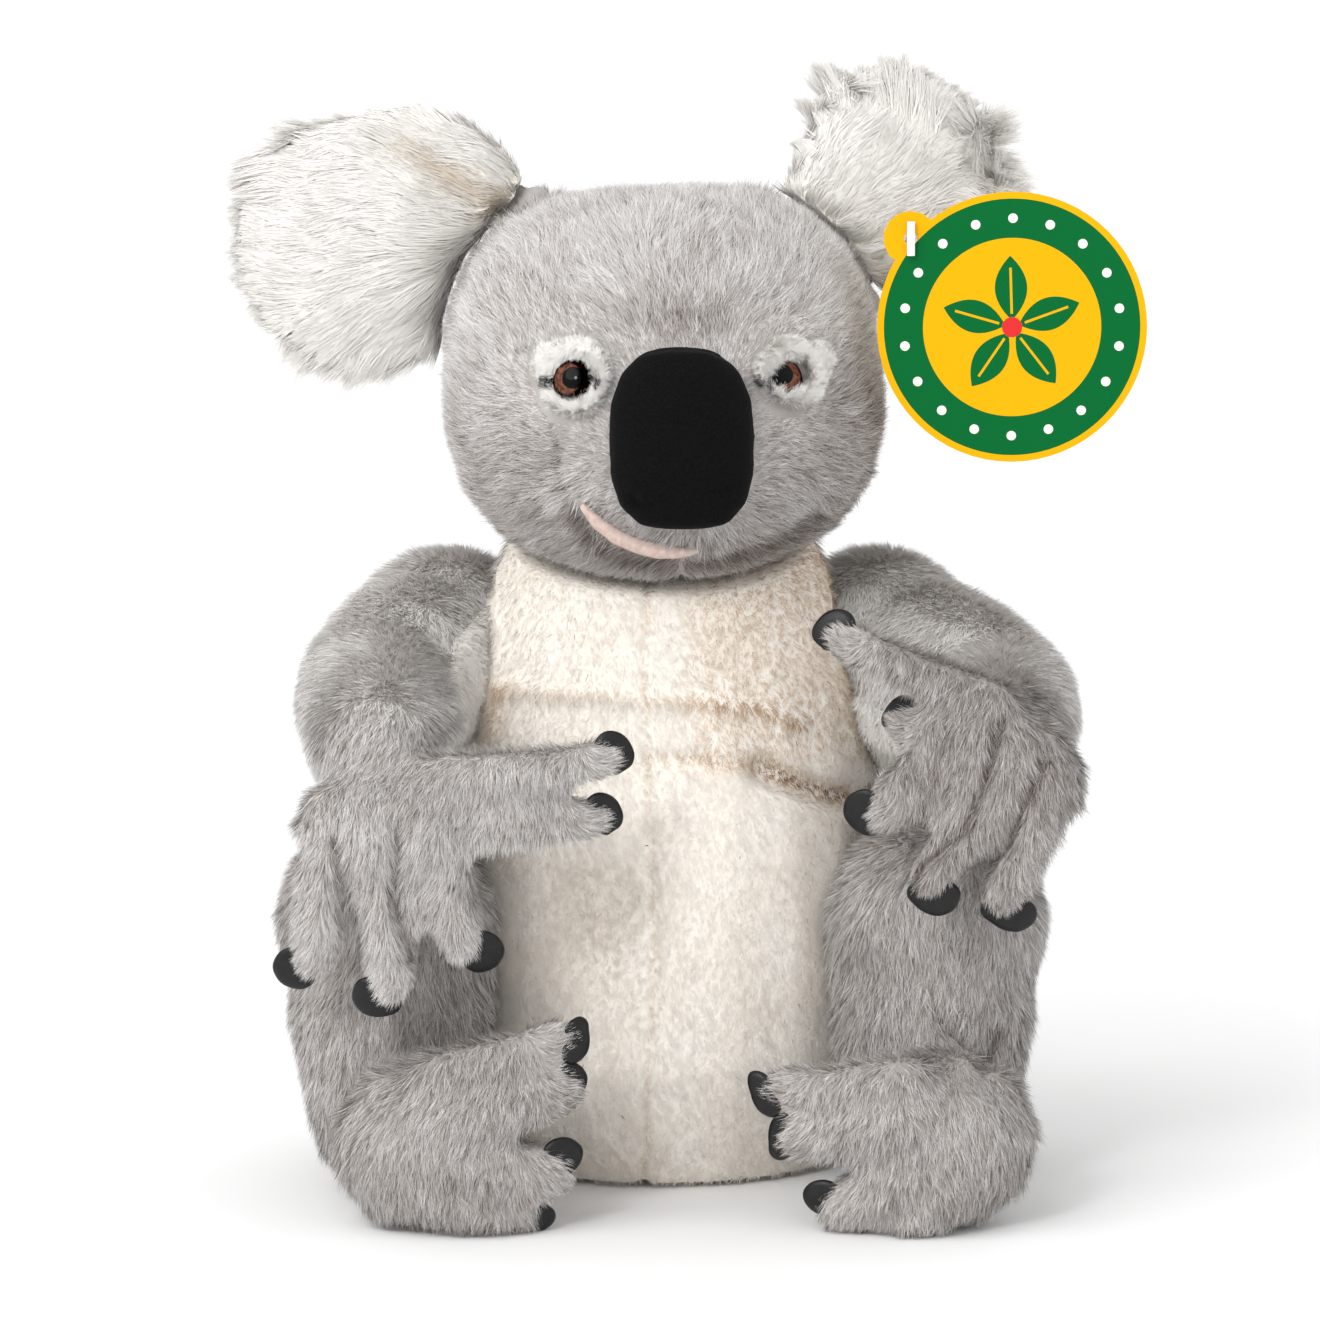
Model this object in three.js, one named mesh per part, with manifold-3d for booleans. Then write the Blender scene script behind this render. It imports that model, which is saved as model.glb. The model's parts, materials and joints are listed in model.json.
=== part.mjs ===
// A seated plush koala: stuffed body, head, arms, legs and ears on sewn joints, with a hang tag.
// Millimetres, +Z up, face towards -Y. The origin is the middle of the flat seat.
import * as THREE from 'three';
import { mergeVertices } from 'three/addons/utils/BufferGeometryUtils.js';
import Module from 'manifold-3d';

const wasm = await Module();
wasm.setup();

// Fabric, seams and clearances
const skinThickness = 2.5;
const seamGap = 0.3;
const socketClearance = 1;
const swingClearance = 1.2;
const seatPanelThickness = 2.4;
const cutReach = 400;
const weldTolerance = 0.001;

// Body
const bodyShift = 2;
const bodyHeight = 212;
const hipLevel = 42;
const waistLevel = 95;
const chestLevel = 150;
const bodyBack = 12;
const bodyLean = 16;
const seatHalfWidth = 56;
const seatHalfDepth = 50;
const hipHalfWidth = 72;
const hipHalfDepth = 64;
const waistHalfWidth = 69;
const waistHalfDepth = 60;
const chestHalfWidth = 62;
const chestHalfDepth = 50;
const neckHalfWidth = 40;
const neckHalfDepth = 36;
const sideSeamDepth = -2;

// Neck
const neckX = 3;
const neckY = -4;
const neckTrim = 16;
const neckTiltAngle = 21;
const headRestTurnAngle = 4.5;

// Head, measured from the middle of the neck seam; a fullness above 2 squares its front view
const headRise = 50;
const headForward = 8;
const headHalfWidth = 65;
const headHalfDepth = 57;
const headHalfHeight = 56;
const headFullness = 2.5;
const muzzlePush = 13;
const cheekPush = 7;
const throatPush = 8;
const crownDrop = 2;
const muzzleAimShares = [0, -1, -0.52];
const cheekAimShares = [0.8, -0.4, -0.62];
const throatAimShares = [0, -0.45, -1];
const muzzleSpreadAngle = 35.5;
const bulgeSpreadAngle = 34.4;

// Nose, mouth and eyes
const noseDrop = 17;
const noseHalfWidth = 21;
const noseHalfHeight = 26.5;
const noseHalfDepth = 12;
const lipHalfWidth = 16;
const lipSide = 12;
const lipDrop = 51;
const lipRise = 14;
const lipThickness = 2.4;
const lipRouteShares = [[-1, 1], [-0.6, 0.5], [0, 0.13], [0.5, 0], [1, 0]];
const lipEndShare = 0.5;
const eyeSpacing = 61;
const eyeRise = -2;
const eyeRadius = 7.2;
const eyeDome = 5.5;
const shankRadius = 2.2;
const shankLength = 13;
const shankClearance = 0.3;
const washerRadius = 8.5;
const washerThickness = 1.8;
const washerDepth = 4.8;
const washerPocketClearance = 0.5;
const patchThickness = 1.8;
const patchRadius = 11;
const patchTailRadius = 5;
const patchTailReach = 9;

// Ears
const earSeamX = 46;
const earSeamRise = 30;
const earSeamBack = 10;
const earSeamHalf = 22;
const earHingeRadius = 6;
const earHalfThick = 10;
const leftEarRootSide = 0;
const leftEarRootRise = 29;
const leftEarRootHalfWidth = 36;
const leftEarRootHalfLength = 37;
const leftEarTipSide = -12;
const leftEarTipRise = 41;
const leftEarTipHalfWidth = 38;
const leftEarTipHalfLength = 39;
const rightEarRootSide = 4;
const rightEarRootRise = 22;
const rightEarRootHalfWidth = 24;
const rightEarRootHalfLength = 26;
const rightEarTipSide = 8;
const rightEarTipRise = 44;
const rightEarTipHalfWidth = 33;
const rightEarTipHalfLength = 33;
const earLiningBack = 2;
const earSwingAngles = [-12, 0, 15];
const leftEarAngle = 152;
const rightEarAngle = 50;
const leftEarLeanAngle = 6;
const rightEarLeanAngle = 28;

// Limb joints: each arm and leg turns about one upright line beside the body
const limbLineOut = 66;
const limbLineBack = 14;
const shoulderHeight = 157;
const shoulderRadius = 32;
const hipHeight = 43;
const hipRadius = 41;
const limbClearance = 3.6;
const legSpreadAngle = 20;

// Arms
const elbowRadius = 27;
const wristRadius = 21;
const upperArmSwell = 31;
const leftArmFloor = 119.5;
const rightArmFloor = 114.5;

// Places along the arms: out from the limb's upright line, forward of it, and above the floor
const wristSetBack = 17;
const leftElbowOut = 18;
const leftElbowForward = 38;
const leftElbowHeight = 147;
const leftWristOut = 16;
const leftWristHeight = 141;
const leftHandOut = 13;
const leftHandStandOff = 6;
const leftHandHeight = 120;
const leftHandAngle = 0;
const rightElbowOut = 34;
const rightElbowForward = 38;
const rightElbowHeight = 142;
const rightWristOut = 30;
const rightWristHeight = 142;
const rightHandOut = 31;
const rightHandStandOff = 4;
const rightHandHeight = 138;
const rightHandAngle = 30;

// Legs
const thighRadius = 37;
const kneeRadius = 35;
const shinRadius = 32;
const ankleRadius = 28;
const kneeOut = 16;
const kneeForward = 50;
const kneeHeight = 81;
const ankleOut = 13;
const ankleForward = 62;
const ankleHeight = 28;
const footAhead = 38;
const leftFootOut = 2;
const leftFootHeight = 24;
const leftFootAngle = 0;
const rightFootOut = 16;
const rightFootHeight = 26;
const rightFootAngle = 22;

// Paws and feet
const palmHalfWidth = 29;
const palmHalfLength = 20;
const palmHalfThick = 14;
const fingerLength = 34;
const fingerRadius = 10;
const fingerTipRadius = 8;
const thumbLength = 52;
const thumbRadius = 8.5;
const thumbTipRadius = 7;
const soleHalfWidth = 29;
const soleHalfLength = 30;
const soleHalfThick = 23;
const toeLength = 30;
const toeRadius = 12.5;
const toeTipRadius = 9.5;
const bigToeLength = 36;
const bigToeRadius = 8.5;
const bigToeTipRadius = 7.5;
const leftHandHold = { fingerShare: 1, thumbShare: 1, tuckedShare: 0.94, thumbTurnAngle: 0 };
const rightHandHold = { fingerShare: 0.78, thumbShare: 0.9, tuckedShare: 0.34, thumbTurnAngle: 13 };
const bendShare = 0.6;
const curlShare = 0.12;
const toeLiftShare = 0.5;

// Claws: flat crescents sewn into the seam round each tip
const clawThickness = 2.4;
const clawStandOut = 5;
const clawTuck = 2.6;
const clawTipStandOut = 1.2;
const clawSweepAngle = 112;
const clawSteps = 4;

// Hang tag
const tagRadius = 39.5;
const tagThickness = 1.2;
const tagTabRadius = 8;
const tagHoleRadius = 2;
const tagHoleX = 74.6;
const tagHoleY = -47;
const tagHoleZ = 285;
const tagHangAngle = 41;
const fastenerRadius = 0.9;
const fastenerBarRadius = 1.3;
const fastenerBarHalf = 5;
const fastenerStandOff = 1.6;
const fastenerRootSide = 13;
const fastenerRootRise = 12;

const degree = Math.PI / 180;

// Colours and finishes
const finishes = {
  greyPlush: { color: 0xa9a6a3, roughness: 0.95, metalness: 0 },
  whitePlush: { color: 0xf3eee4, roughness: 0.95, metalness: 0 },
  earPlush: { color: 0xf4f1ea, roughness: 0.95, metalness: 0 },
  filling: { color: 0xf7f7f5, roughness: 1, metalness: 0 },
  seatCloth: { color: 0x9a9794, roughness: 0.95, metalness: 0 },
  blackVelour: { color: 0x17171a, roughness: 0.9, metalness: 0 },
  pinkVelour: { color: 0xd8b8ae, roughness: 0.9, metalness: 0 },
  eyePlastic: { color: 0x4a2415, roughness: 0.15, metalness: 0 },
  washerPlastic: { color: 0xe9e9e6, roughness: 0.5, metalness: 0 },
  clawVinyl: { color: 0x1b1b1e, roughness: 0.4, metalness: 0 },
  tagCard: { color: 0xf2b91c, roughness: 0.4, metalness: 0 },
  fastenerPlastic: { color: 0xf0efe9, roughness: 0.4, metalness: 0 },
};

// Facets round and along each form
const formSides = 20;
const formRings = 8;
const coreSides = formSides / 2;
const limbSides = 12;
const limbRings = 6;
const digitSides = 6;
const digitRings = 2;
const capRings = 2;
const smallSides = 14;
const headRowShare = 0.6;
const innerShare = 0.86;
const discSides = 32;
const ballSides = 16;
const domeSides = 10;
const searchSteps = 24;
const midShare = 0.5;

// Solids from geometry and back
function toSolid(geometry) {
  const bare = geometry.clone();
  bare.deleteAttribute('normal');
  bare.deleteAttribute('uv');
  const merged = mergeVertices(bare, weldTolerance);
  return new wasm.Manifold(new wasm.Mesh({
    numProp: 3,
    vertProperties: new Float32Array(merged.attributes.position.array),
    triVerts: new Uint32Array(merged.index.array),
  }));
}

function toGeometry(solid) {
  const mesh = solid.getMesh();
  const geometry = new THREE.BufferGeometry();
  geometry.setAttribute('position', new THREE.BufferAttribute(new Float32Array(mesh.vertProperties), 3));
  geometry.setIndex(new THREE.BufferAttribute(new Uint32Array(mesh.triVerts), 1));
  geometry.computeVertexNormals();
  return geometry;
}

// The largest body of a cut, without its offcuts
function largest(solid) {
  return solid.decompose().reduce((best, body) => (body.volume() > best.volume() ? body : best));
}

function inWorld(group, solid) {
  group.updateWorldMatrix(true, false);
  return solid.transform(group.matrixWorld.toArray());
}

function addPiece(group, name, solid, finish) {
  group.updateWorldMatrix(true, false);
  const geometry = toGeometry(solid.transform(group.matrixWorld.clone().invert().toArray()));
  const mesh = new THREE.Mesh(geometry, new THREE.MeshStandardMaterial(finishes[finish]));
  mesh.name = name;
  group.add(mesh);
  return solid;
}

// A rounded tube that swells and tapers: its half sizes follow a curve as its middle does
function swellingForm({ points, halves, side, sides, rings, capShare = 1 }) {
  const route = new THREE.CatmullRomCurve3(points, false, 'centripetal');
  const sizes = halves.map(([across, deep]) => new THREE.Vector3(across, deep, 0));
  const swelling = new THREE.CatmullRomCurve3(sizes);
  const positions = [];
  const indices = [];
  const addRing = (t, slide, shrink) => {
    const middle = route.getPoint(t);
    const half = swelling.getPoint(t);
    const along = route.getTangent(t);
    const deepAxis = new THREE.Vector3().crossVectors(along, side).normalize();
    const wideAxis = new THREE.Vector3().crossVectors(deepAxis, along).normalize();
    middle.addScaledVector(along, slide * Math.min(half.x, half.y));
    for (let i = 0; i < sides; i += 1) {
      const turn = (i / sides) * 2 * Math.PI;
      const corner = middle.clone()
        .addScaledVector(wideAxis, Math.cos(turn) * half.x * shrink)
        .addScaledVector(deepAxis, Math.sin(turn) * half.y * shrink);
      positions.push(corner.x, corner.y, corner.z);
    }
  };
  for (let k = 1; k <= capRings; k += 1) {
    const lift = (1 - k / (capRings + 1)) * (Math.PI / 2);
    addRing(0, -Math.sin(lift) * capShare, Math.cos(lift));
  }
  for (let k = 0; k <= rings; k += 1) addRing(k / rings, 0, 1);
  for (let k = capRings; k >= 1; k -= 1) {
    const lift = (1 - k / (capRings + 1)) * (Math.PI / 2);
    addRing(1, Math.sin(lift) * capShare, Math.cos(lift));
  }
  const ringCount = positions.length / 3 / sides;
  const poles = [[0, -1], [1, 1]].map(([t, way]) => {
    const half = swelling.getPoint(t);
    const reach = way * capShare * Math.min(half.x, half.y);
    const pole = route.getPoint(t).addScaledVector(route.getTangent(t), reach);
    positions.push(pole.x, pole.y, pole.z);
    return positions.length / 3 - 1;
  });
  for (let i = 0; i < sides; i += 1) {
    const next = (i + 1) % sides;
    indices.push(poles[0], next, i);
    for (let k = 0; k < ringCount - 1; k += 1) {
      const low = k * sides;
      const high = low + sides;
      indices.push(low + i, low + next, high + i, low + next, high + next, high + i);
    }
    indices.push(poles[1], (ringCount - 1) * sides + i, (ringCount - 1) * sides + next);
  }
  const geometry = new THREE.BufferGeometry();
  geometry.setAttribute('position', new THREE.Float32BufferAttribute(positions, 3));
  geometry.setIndex(indices);
  return toSolid(geometry);
}

function ballForm(centre, half, sides) {
  const geometry = new THREE.SphereGeometry(1, sides, sides / 2);
  geometry.rotateX(Math.PI / 2);
  geometry.scale(half.x, half.y, half.z);
  geometry.translate(centre.x, centre.y, centre.z);
  return toSolid(geometry);
}

function roundBall(centre, radius, sides) {
  return ballForm(centre, new THREE.Vector3(radius, radius, radius), sides);
}

// Everything on the side of a plane that the normal points to
function halfSpace(point, normal) {
  const geometry = new THREE.BoxGeometry(2 * cutReach, 2 * cutReach, cutReach);
  geometry.translate(0, 0, cutReach / 2);
  geometry.applyQuaternion(new THREE.Quaternion().setFromUnitVectors(new THREE.Vector3(0, 0, 1), normal));
  geometry.translate(point.x, point.y, point.z);
  return toSolid(geometry);
}

function uprightCylinder(x, y, radius, top) {
  const geometry = new THREE.CylinderGeometry(radius, radius, top + cutReach, discSides);
  geometry.rotateX(Math.PI / 2);
  geometry.translate(x, y, (top - cutReach) / 2);
  return toSolid(geometry);
}

const neckHeight = bodyHeight - neckTrim;
const floorPlane = halfSpace(new THREE.Vector3(), new THREE.Vector3(0, 0, -1));
const koala = new THREE.Group();

// Frames: the head turns about the normal of its neck seam
const neckFrame = new THREE.Group();
neckFrame.position.set(neckX, neckY, neckHeight);
neckFrame.rotation.x = neckTiltAngle * degree;
koala.add(neckFrame);
const turnFrame = new THREE.Group();
turnFrame.rotation.z = headRestTurnAngle * degree;
neckFrame.add(turnFrame);
const headFrame = new THREE.Group();
headFrame.rotation.x = -neckTiltAngle * degree;
turnFrame.add(headFrame);

const neckPoint = new THREE.Vector3(neckX, neckY, neckHeight);
const neckNormal = new THREE.Vector3(0, -Math.sin(neckTiltAngle * degree), Math.cos(neckTiltAngle * degree));
const aboveNeck = halfSpace(neckPoint.clone().addScaledVector(neckNormal, seamGap / 2), neckNormal);
const belowNeck = halfSpace(
  neckPoint.clone().addScaledVector(neckNormal, -seamGap / 2),
  neckNormal.clone().negate(),
);

// Body
function bodyForm(inset, sides, rings) {
  const levels = [0, hipLevel, waistLevel, chestLevel, bodyHeight];
  const halves = [
    [seatHalfWidth, seatHalfDepth],
    [hipHalfWidth, hipHalfDepth],
    [waistHalfWidth, waistHalfDepth],
    [chestHalfWidth, chestHalfDepth],
    [neckHalfWidth, neckHalfDepth],
  ];
  return swellingForm({
    points: levels.map((level) => {
      const leaning = (bodyLean * level) / bodyHeight;
      return new THREE.Vector3(bodyShift, bodyBack - leaning, level);
    }),
    halves: halves.map(([across, deep]) => [across - inset, deep - inset]),
    side: new THREE.Vector3(1, 0, 0),
    sides,
    rings,
    capShare: skinThickness / seatHalfDepth,
  });
}

const limbLines = [-1, 1].map((way) => ({ way, x: bodyShift + way * limbLineOut, y: limbLineBack }));
const jointBalls = limbLines.flatMap(({ x, y }) => [
  { centre: new THREE.Vector3(x, y, shoulderHeight), radius: shoulderRadius },
  { centre: new THREE.Vector3(x, y, hipHeight), radius: hipRadius },
]);
const outerBody = bodyForm(0, formSides, formRings);
const bodyClear = bodyForm(-seamGap, formSides, formRings);
let bodyRoom = belowNeck;
jointBalls.forEach(({ centre, radius }) => {
  bodyRoom = bodyRoom.subtract(roundBall(centre, radius + socketClearance, ballSides));
});

function buildBody() {
  const skinFloor = seatPanelThickness + seamGap;
  const aboveSeat = halfSpace(new THREE.Vector3(0, 0, skinFloor), new THREE.Vector3(0, 0, 1));
  const belowSeat = halfSpace(new THREE.Vector3(0, 0, seatPanelThickness), new THREE.Vector3(0, 0, -1));
  const frontEdge = new THREE.Vector3(0, sideSeamDepth - seamGap / 2, 0);
  const backEdge = new THREE.Vector3(0, sideSeamDepth + seamGap / 2, 0);
  const inFront = halfSpace(frontEdge, new THREE.Vector3(0, -1, 0));
  const behind = halfSpace(backEdge, new THREE.Vector3(0, 1, 0));
  const skin = outerBody.subtract(bodyForm(skinThickness, formSides, formRings))
    .intersect(bodyRoom).intersect(aboveSeat);
  const filling = bodyForm(skinThickness + seamGap, coreSides, formRings)
    .intersect(bodyRoom).intersect(aboveSeat);
  const seat = outerBody.intersect(belowSeat).subtract(floorPlane).intersect(bodyRoom);
  addPiece(koala, 'seat_panel', seat, 'seatCloth');
  addPiece(koala, 'body_filling', filling, 'filling');
  addPiece(koala, 'belly_skin', skin.intersect(inFront), 'whitePlush');
  addPiece(koala, 'back_skin', skin.intersect(behind), 'greyPlush');
}

// Head
const headMiddle = new THREE.Vector3(0, -headForward, headRise);
const [cheekOut, cheekAhead, cheekUp] = cheekAimShares;
const headBulges = [
  { aim: muzzleAimShares, push: muzzlePush, spread: muzzleSpreadAngle },
  { aim: cheekAimShares, push: cheekPush, spread: bulgeSpreadAngle },
  { aim: [-cheekOut, cheekAhead, cheekUp], push: cheekPush, spread: bulgeSpreadAngle },
  { aim: throatAimShares, push: throatPush, spread: bulgeSpreadAngle },
  { aim: [0, 0, 1], push: -crownDrop, spread: bulgeSpreadAngle },
].map(({ aim, push, spread }) => ({ towards: new THREE.Vector3(...aim).normalize(), push, spread }));

// How far the head's surface lies from the middle of the head in a direction
function headReach(direction, inset) {
  const across = Math.abs(direction.x / (headHalfWidth - inset)) ** headFullness;
  const upward = Math.abs(direction.z / (headHalfHeight - inset)) ** headFullness;
  const frontView = (across + upward) ** (1 / headFullness);
  const depth = direction.y / (headHalfDepth - inset);
  const bulge = headBulges.reduce((sum, { towards, push, spread }) => {
    const angle = direction.angleTo(towards) / (spread * degree);
    return sum + push * Math.exp(-angle * angle);
  }, 0);
  return 1 / Math.hypot(frontView, depth) + bulge;
}

function headForm(inset, sides) {
  const geometry = new THREE.SphereGeometry(1, sides, Math.round(sides * headRowShare));
  geometry.rotateX(Math.PI / 2);
  const place = geometry.attributes.position;
  const direction = new THREE.Vector3();
  for (let i = 0; i < place.count; i += 1) {
    direction.fromBufferAttribute(place, i).normalize();
    direction.multiplyScalar(headReach(direction, inset)).add(headMiddle);
    place.setXYZ(i, direction.x, direction.y, direction.z);
  }
  return inWorld(headFrame, toSolid(geometry));
}

// The point on the face straight behind a place in the front view
function facePoint(x, z) {
  const direction = new THREE.Vector3();
  let near = 0;
  let far = 2 * headHalfDepth;
  for (let step = 0; step < searchSteps; step += 1) {
    const depth = (near + far) / 2;
    direction.set(x, -depth, z - headRise);
    const inside = direction.length() < headReach(direction.clone().normalize(), 0);
    if (inside) near = depth;
    else far = depth;
  }
  return new THREE.Vector3(x, headMiddle.y - near, z);
}

const outerHead = headForm(0, formSides);
const headClear = headForm(-seamGap, formSides);

function earFrameFor(way, angle, lean) {
  const frame = new THREE.Group();
  frame.position.set(way * earSeamX, earSeamBack - headForward, headRise + earSeamRise);
  frame.rotation.set(-lean * degree, (90 - angle) * degree, 0, 'YXZ');
  headFrame.add(frame);
  return frame;
}

// Each ear is the hull of two flat balls, one at its root and one at its tip
const ears = [
  {
    name: 'left',
    frame: earFrameFor(-1, leftEarAngle, leftEarLeanAngle),
    balls: [
      [leftEarRootSide, leftEarRootRise, leftEarRootHalfWidth, leftEarRootHalfLength],
      [leftEarTipSide, leftEarTipRise, leftEarTipHalfWidth, leftEarTipHalfLength],
    ],
  },
  {
    name: 'right',
    frame: earFrameFor(1, rightEarAngle, rightEarLeanAngle),
    balls: [
      [rightEarRootSide, rightEarRootRise, rightEarRootHalfWidth, rightEarRootHalfLength],
      [rightEarTipSide, rightEarTipRise, rightEarTipHalfWidth, rightEarTipHalfLength],
    ],
  },
];

function earForm({ frame, balls }, grow) {
  return inWorld(frame, wasm.Manifold.hull(balls.map(([side, rise, halfWidth, halfLength]) => ballForm(
    new THREE.Vector3(side, 0, rise),
    new THREE.Vector3(halfWidth + grow, earHalfThick + grow, halfLength + grow),
    ballSides,
  ))));
}

function earRod(frame, clearance) {
  const radius = earHingeRadius + clearance;
  return inWorld(frame, swellingForm({
    points: [new THREE.Vector3(-earSeamHalf, 0, 0), new THREE.Vector3(earSeamHalf, 0, 0)],
    halves: [[radius, radius], [radius, radius]],
    side: new THREE.Vector3(0, 1, 0),
    sides: smallSides,
    rings: 1,
  }));
}

// A frame on the face whose own -Y points straight out of the surface
function faceFrame(x, z) {
  const frame = new THREE.Group();
  const seat = facePoint(x, z);
  const right = facePoint(x + skinThickness, z).sub(seat);
  const up = facePoint(x, z + skinThickness).sub(seat);
  const out = new THREE.Vector3().crossVectors(right, up).normalize();
  frame.position.copy(seat);
  frame.quaternion.setFromUnitVectors(new THREE.Vector3(0, -1, 0), out);
  headFrame.add(frame);
  return frame;
}

const eyes = [
  { name: 'left', way: -1 },
  { name: 'right', way: 1 },
].map((eye) => ({ ...eye, frame: faceFrame((eye.way * eyeSpacing) / 2, headRise + eyeRise) }));

// A round bar from one depth to another below the face
function eyeBar(frame, from, to, radius) {
  const geometry = new THREE.CylinderGeometry(radius, radius, to - from, smallSides);
  geometry.translate(0, (from + to) / 2, 0);
  return inWorld(frame, toSolid(geometry));
}

function eyeDomeForm(frame, clearance) {
  const half = new THREE.Vector3(eyeRadius + clearance, eyeDome + clearance, eyeRadius + clearance);
  return inWorld(frame, ballForm(new THREE.Vector3(), half, domeSides));
}

function buildHead() {
  const inside = headForm(skinThickness, formSides);
  let room = aboveNeck;
  ears.forEach(({ frame }) => {
    room = room.subtract(earRod(frame, socketClearance));
  });
  let skin = outerHead.subtract(inside).intersect(room);
  let filling = headForm(skinThickness + seamGap, coreSides).intersect(room);
  eyes.forEach(({ frame }) => {
    skin = skin.subtract(eyeBar(frame, -skinThickness, shankLength, shankRadius + shankClearance));
    const pocketRadius = washerRadius + washerPocketClearance;
    filling = filling.subtract(eyeBar(frame, 0, shankLength + washerThickness, pocketRadius));
  });
  addPiece(headFrame, 'head_skin', skin, 'greyPlush');
  addPiece(headFrame, 'head_filling', filling, 'filling');
}

function buildFace() {
  const noseSeat = facePoint(0, headRise - noseDrop);
  const nose = inWorld(headFrame, ballForm(
    noseSeat,
    new THREE.Vector3(noseHalfWidth, noseHalfDepth, noseHalfHeight),
    ballSides,
  )).subtract(headClear);
  addPiece(headFrame, 'nose', nose, 'blackVelour');

  const lipPoints = lipRouteShares.map(([along, rise]) => facePoint(
    along * lipHalfWidth - lipSide,
    headRise - lipDrop + rise * lipRise,
  ));
  const lip = inWorld(headFrame, swellingForm({
    points: lipPoints,
    halves: lipPoints.map((point, index) => {
      const atEnd = index === 0 || index === lipPoints.length - 1;
      const half = atEnd ? lipEndShare * lipThickness : lipThickness;
      return [half, half];
    }),
    side: new THREE.Vector3(0, 1, 0),
    sides: digitSides,
    rings: limbRings,
  })).subtract(headClear);
  addPiece(headFrame, 'lip', lip, 'pinkVelour');

  eyes.forEach(({ name, way, frame }) => {
    const shank = eyeBar(frame, -eyeDome / 2, shankLength, shankRadius);
    addPiece(frame, `eye_${name}`, eyeDomeForm(frame, 0).subtract(headClear).add(shank), 'eyePlastic');
    const bore = eyeBar(frame, 0, shankLength, shankRadius + shankClearance);
    const washer = eyeBar(frame, washerDepth, washerDepth + washerThickness, washerRadius).subtract(bore);
    addPiece(frame, `eye_washer_${name}`, washer, 'washerPlastic');
    const disc = new THREE.CylinderGeometry(patchRadius, patchRadius, 2 * shankLength, smallSides);
    const tail = new THREE.CylinderGeometry(patchTailRadius, patchTailRadius, 2 * shankLength, smallSides);
    tail.translate(way * patchTailReach, 0, patchTailReach / 2);
    const patch = headForm(-seamGap - patchThickness, formSides).subtract(headClear)
      .intersect(inWorld(frame, toSolid(disc).add(toSolid(tail))))
      .subtract(eyeDomeForm(frame, seamGap));
    addPiece(frame, `eye_patch_${name}`, largest(patch), 'whitePlush');
  });
}

function buildEars() {
  ears.forEach((ear) => {
    const { name, frame } = ear;
    let outside = earForm(ear, 0);
    earSwingAngles.forEach((swing) => {
      const swung = new THREE.Group();
      swung.rotation.x = swing * degree;
      frame.add(swung);
      swung.updateWorldMatrix(true, false);
      const turned = swung.matrixWorld.clone().multiply(frame.matrixWorld.clone().invert());
      frame.remove(swung);
      outside = outside.subtract(headForm(-swingClearance, formSides).transform(turned.toArray()));
    });
    const inFront = inWorld(frame, halfSpace(
      new THREE.Vector3(0, earLiningBack - seamGap / 2, 0),
      new THREE.Vector3(0, -1, 0),
    ));
    const behind = inWorld(frame, halfSpace(
      new THREE.Vector3(0, earLiningBack + seamGap / 2, 0),
      new THREE.Vector3(0, 1, 0),
    ));
    const rod = earRod(frame, 0);
    const lining = largest(outside.intersect(inFront).subtract(earRod(frame, seamGap)));
    addPiece(frame, `ear_back_${name}`, largest(outside.intersect(behind).add(rod)), 'greyPlush');
    addPiece(frame, `ear_lining_${name}`, lining, 'earPlush');
    if (name === 'right') buildTag(ear, lining);
  });
}

// Hang tag: a round card with a tab, held in front of the ear by a plastic fastener
function buildTag(ear, lining) {
  const earFrame = ear.frame;
  const hole = new THREE.Vector3(tagHoleX, tagHoleY, tagHoleZ);
  const tagFrame = new THREE.Group();
  earFrame.updateWorldMatrix(true, false);
  const local = earFrame.matrixWorld.clone().invert();
  tagFrame.position.copy(hole.clone().applyMatrix4(local));
  tagFrame.quaternion.setFromRotationMatrix(local);
  earFrame.add(tagFrame);
  const disc = new THREE.Shape();
  disc.absarc(0, 0, tagRadius, 0, 2 * Math.PI);
  const flat = { depth: tagThickness, bevelEnabled: false, curveSegments: discSides };
  const toTab = new THREE.Vector3(Math.cos(tagHangAngle * degree), 0, -Math.sin(tagHangAngle * degree))
    .multiplyScalar(tagRadius);
  const card = new THREE.ExtrudeGeometry(disc, flat);
  card.rotateX(Math.PI / 2);
  card.translate(toTab.x, tagThickness / 2, toTab.z);
  const tab = new THREE.CylinderGeometry(tagTabRadius, tagTabRadius, tagThickness, smallSides);
  const bore = new THREE.CylinderGeometry(tagHoleRadius, tagHoleRadius, 2 * tagThickness, smallSides);
  const tag = inWorld(tagFrame, toSolid(card).add(toSolid(tab)).subtract(toSolid(bore)));
  addPiece(tagFrame, 'hang_tag', tag, 'tagCard');

  const front = hole.clone().add(new THREE.Vector3(0, -tagThickness / 2 - fastenerStandOff, 0));
  const behindHole = hole.clone().add(new THREE.Vector3(0, tagThickness / 2 + fastenerStandOff, 0));
  const root = new THREE.Vector3(fastenerRootSide, 0, fastenerRootRise).applyMatrix4(earFrame.matrixWorld);
  const thin = [fastenerRadius, fastenerRadius];
  const points = [front, hole, behindHole, behindHole.clone().lerp(root, midShare), root];
  const thread = swellingForm({
    points,
    halves: points.map(() => thin),
    side: new THREE.Vector3(0, 0, 1),
    sides: digitSides,
    rings: limbRings,
  });
  const barLength = 2 * fastenerBarHalf;
  const bar = new THREE.CylinderGeometry(fastenerBarRadius, fastenerBarRadius, barLength, digitSides);
  bar.rotateX(Math.PI / 2);
  bar.translate(front.x, front.y, front.z);
  const fastener = thread.add(toSolid(bar)).subtract(lining).subtract(earForm(ear, seamGap));
  addPiece(earFrame, 'tag_fastener', fastener, 'fastenerPlastic');
}

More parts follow.
